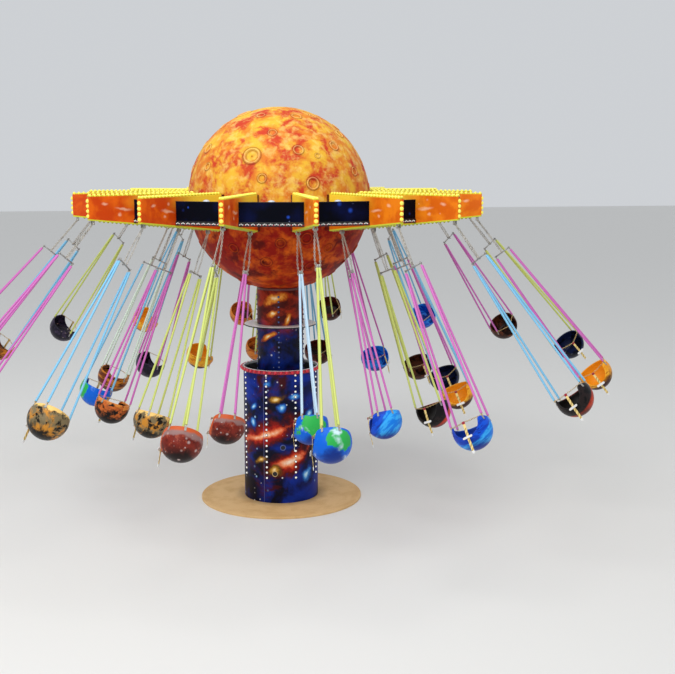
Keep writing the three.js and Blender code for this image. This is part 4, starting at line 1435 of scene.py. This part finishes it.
def strap_shape(middle):
    """The strap from the lap chain to its end, down in front of the bowl's open side."""
    path = [(-STRAP_REACH + bulge, height) for bulge, height in STRAP_BULGE]
    thick = 0.005
    rings, keep = [], []
    done = 0.0
    for i, (y, z) in enumerate(path):
        done += math.dist(path[i - 1], (y, z)) if i else 0.0
        ahead = Vector((0, *path[min(i + 1, len(path) - 1)])) - Vector((0, *path[max(i - 1, 0)]))
        face = ahead.normalized().cross(Vector((1, 0, 0)))
        here = middle + Vector((0, y, z))
        rings.append([here + Vector((x * STRAP_WIDTH / 2, 0, 0)) + face * off * thick / 2
                      for x, off in ((-1, 1), (1, 1), (1, -1), (-1, -1))])
        keep += [(x * STRAP_WIDTH / 2, done, 0) for x in (-1, 1, 1, -1)]
    return outward(rings_to_mesh("strap", rings, [FINISH["strap"]], smooth=False, kept={"strap_place": keep}))


def lip_plate(middle):
    """The blank white plate with round ends, in front of the strap, and the two pins that hold it."""
    half, tall, thick, steps = 0.1, 0.026, 0.008, 8
    bite_radius = 0.279
    centre = middle + LIP_PLATE
    rise = Vector((0, math.sin(LIP_LEAN), math.cos(LIP_LEAN)))
    face = Vector((0, -rise.z, rise.y))
    rings = []
    for off in (-thick / 2, thick / 2):
        ring = []
        for end in (1, -1):
            for i in range(steps + 1):
                a = math.pi * (i / steps - 0.5)
                across = end * (half - tall + tall * math.cos(a))
                ring.append(centre + Vector((across, 0, 0)) + rise * end * tall * math.sin(a) + face * off)
        rings.append(ring)
    plate = outward(rings_to_mesh("plate", rings, [FINISH["white"]], smooth=False))
    pins = []
    for x in (-0.07, 0.07):
        ends = [middle + bite_point(x / bite_radius), centre + Vector((x, 0, 0))]
        pins.append(round_bar(ends, 0.006, 8, FINISH["steel"]))
    return merged("plate", [plate, *pins])


def front_shape(length):
    """What hangs at the open side: the strap with its pale end, its buckle and the lip plate."""
    middle = Vector((0, 0, -length))
    end = slab(middle + Vector((-0.026, -STRAP_REACH - 0.006, STRAP_END)),
               middle + Vector((0.026, -STRAP_REACH + 0.006, STRAP_END + 0.055)), 0.004, FINISH["white"])
    buckle = slab(middle + Vector((-0.03, -STRAP_REACH + 0.008, 0.08)),
                  middle + Vector((0.03, -STRAP_REACH + 0.02, 0.13)), 0.004, FINISH["red"])
    return merged("front", [strap_shape(middle), end, buckle, lip_plate(middle)])


def seat_place(joint):
    """Where a seat's eye is, flung out as far as its joint can let it hang back down."""
    back = -Vector(joint["axis"])
    turn = Matrix((back.cross(UP), back, UP)).transposed().to_4x4()
    flung = math.radians(-joint["range_deg"][0])
    return Matrix.Translation(joint["pos_m"]) @ turn @ Matrix.Rotation(-flung, 4, "Y")


def build_seats():
    bowl, eye = bowl_shape(), eye_shape()
    for row, (name, length) in enumerate(LENGTH.items()):
        rigging, sleeves, front = rigging_shape(length), sleeve_shape(length), front_shape(length)
        lowered = placed(bowl, Matrix.Translation((0, 0, -length)))
        for i in range(ARMS):
            planet, *colours = DRESS[i]
            node = f"{name}_seat_{i + 1:02d}"
            place = seat_place(JOINTS[f"{name}_swing_{i + 1:02d}"])
            hung = place @ Matrix.Rotation(math.radians(-SWAY[name][i]), 4, "X")
            hung = hung @ Matrix.Rotation(math.radians(TURNED[name][i]), 4, "Z")
            skin = placed(lowered, hung, {PLANETS["earth"]: PLANETS[planet]})
            tubes = {FINISH["yellow"]: FINISH[colours[row]]}
            number = skin.attributes.new("seat_number", "FLOAT", "POINT")
            number.data.foreach_set("value", [i + 0.4 * row] * len(skin.vertices))
            piece(f"{node}_bowl", skin, node, SLOTS[node], node)
            piece(f"{node}_rigging", merged("rigging", [placed(rigging, hung), placed(eye, place)]), node,
                  SLOTS["slew_ring"])
            piece(f"{node}_sleeves", placed(sleeves, hung, tubes), node, SLOTS[node])
            piece(f"{node}_front", placed(front, hung), node, SLOTS[node])


set_camera()
set_stage()
set_light()
build_foot()
build_drum()
build_rim()
build_ports()
build_column()
build_sun()
build_roots()
build_arms()
build_boards()
build_seats()
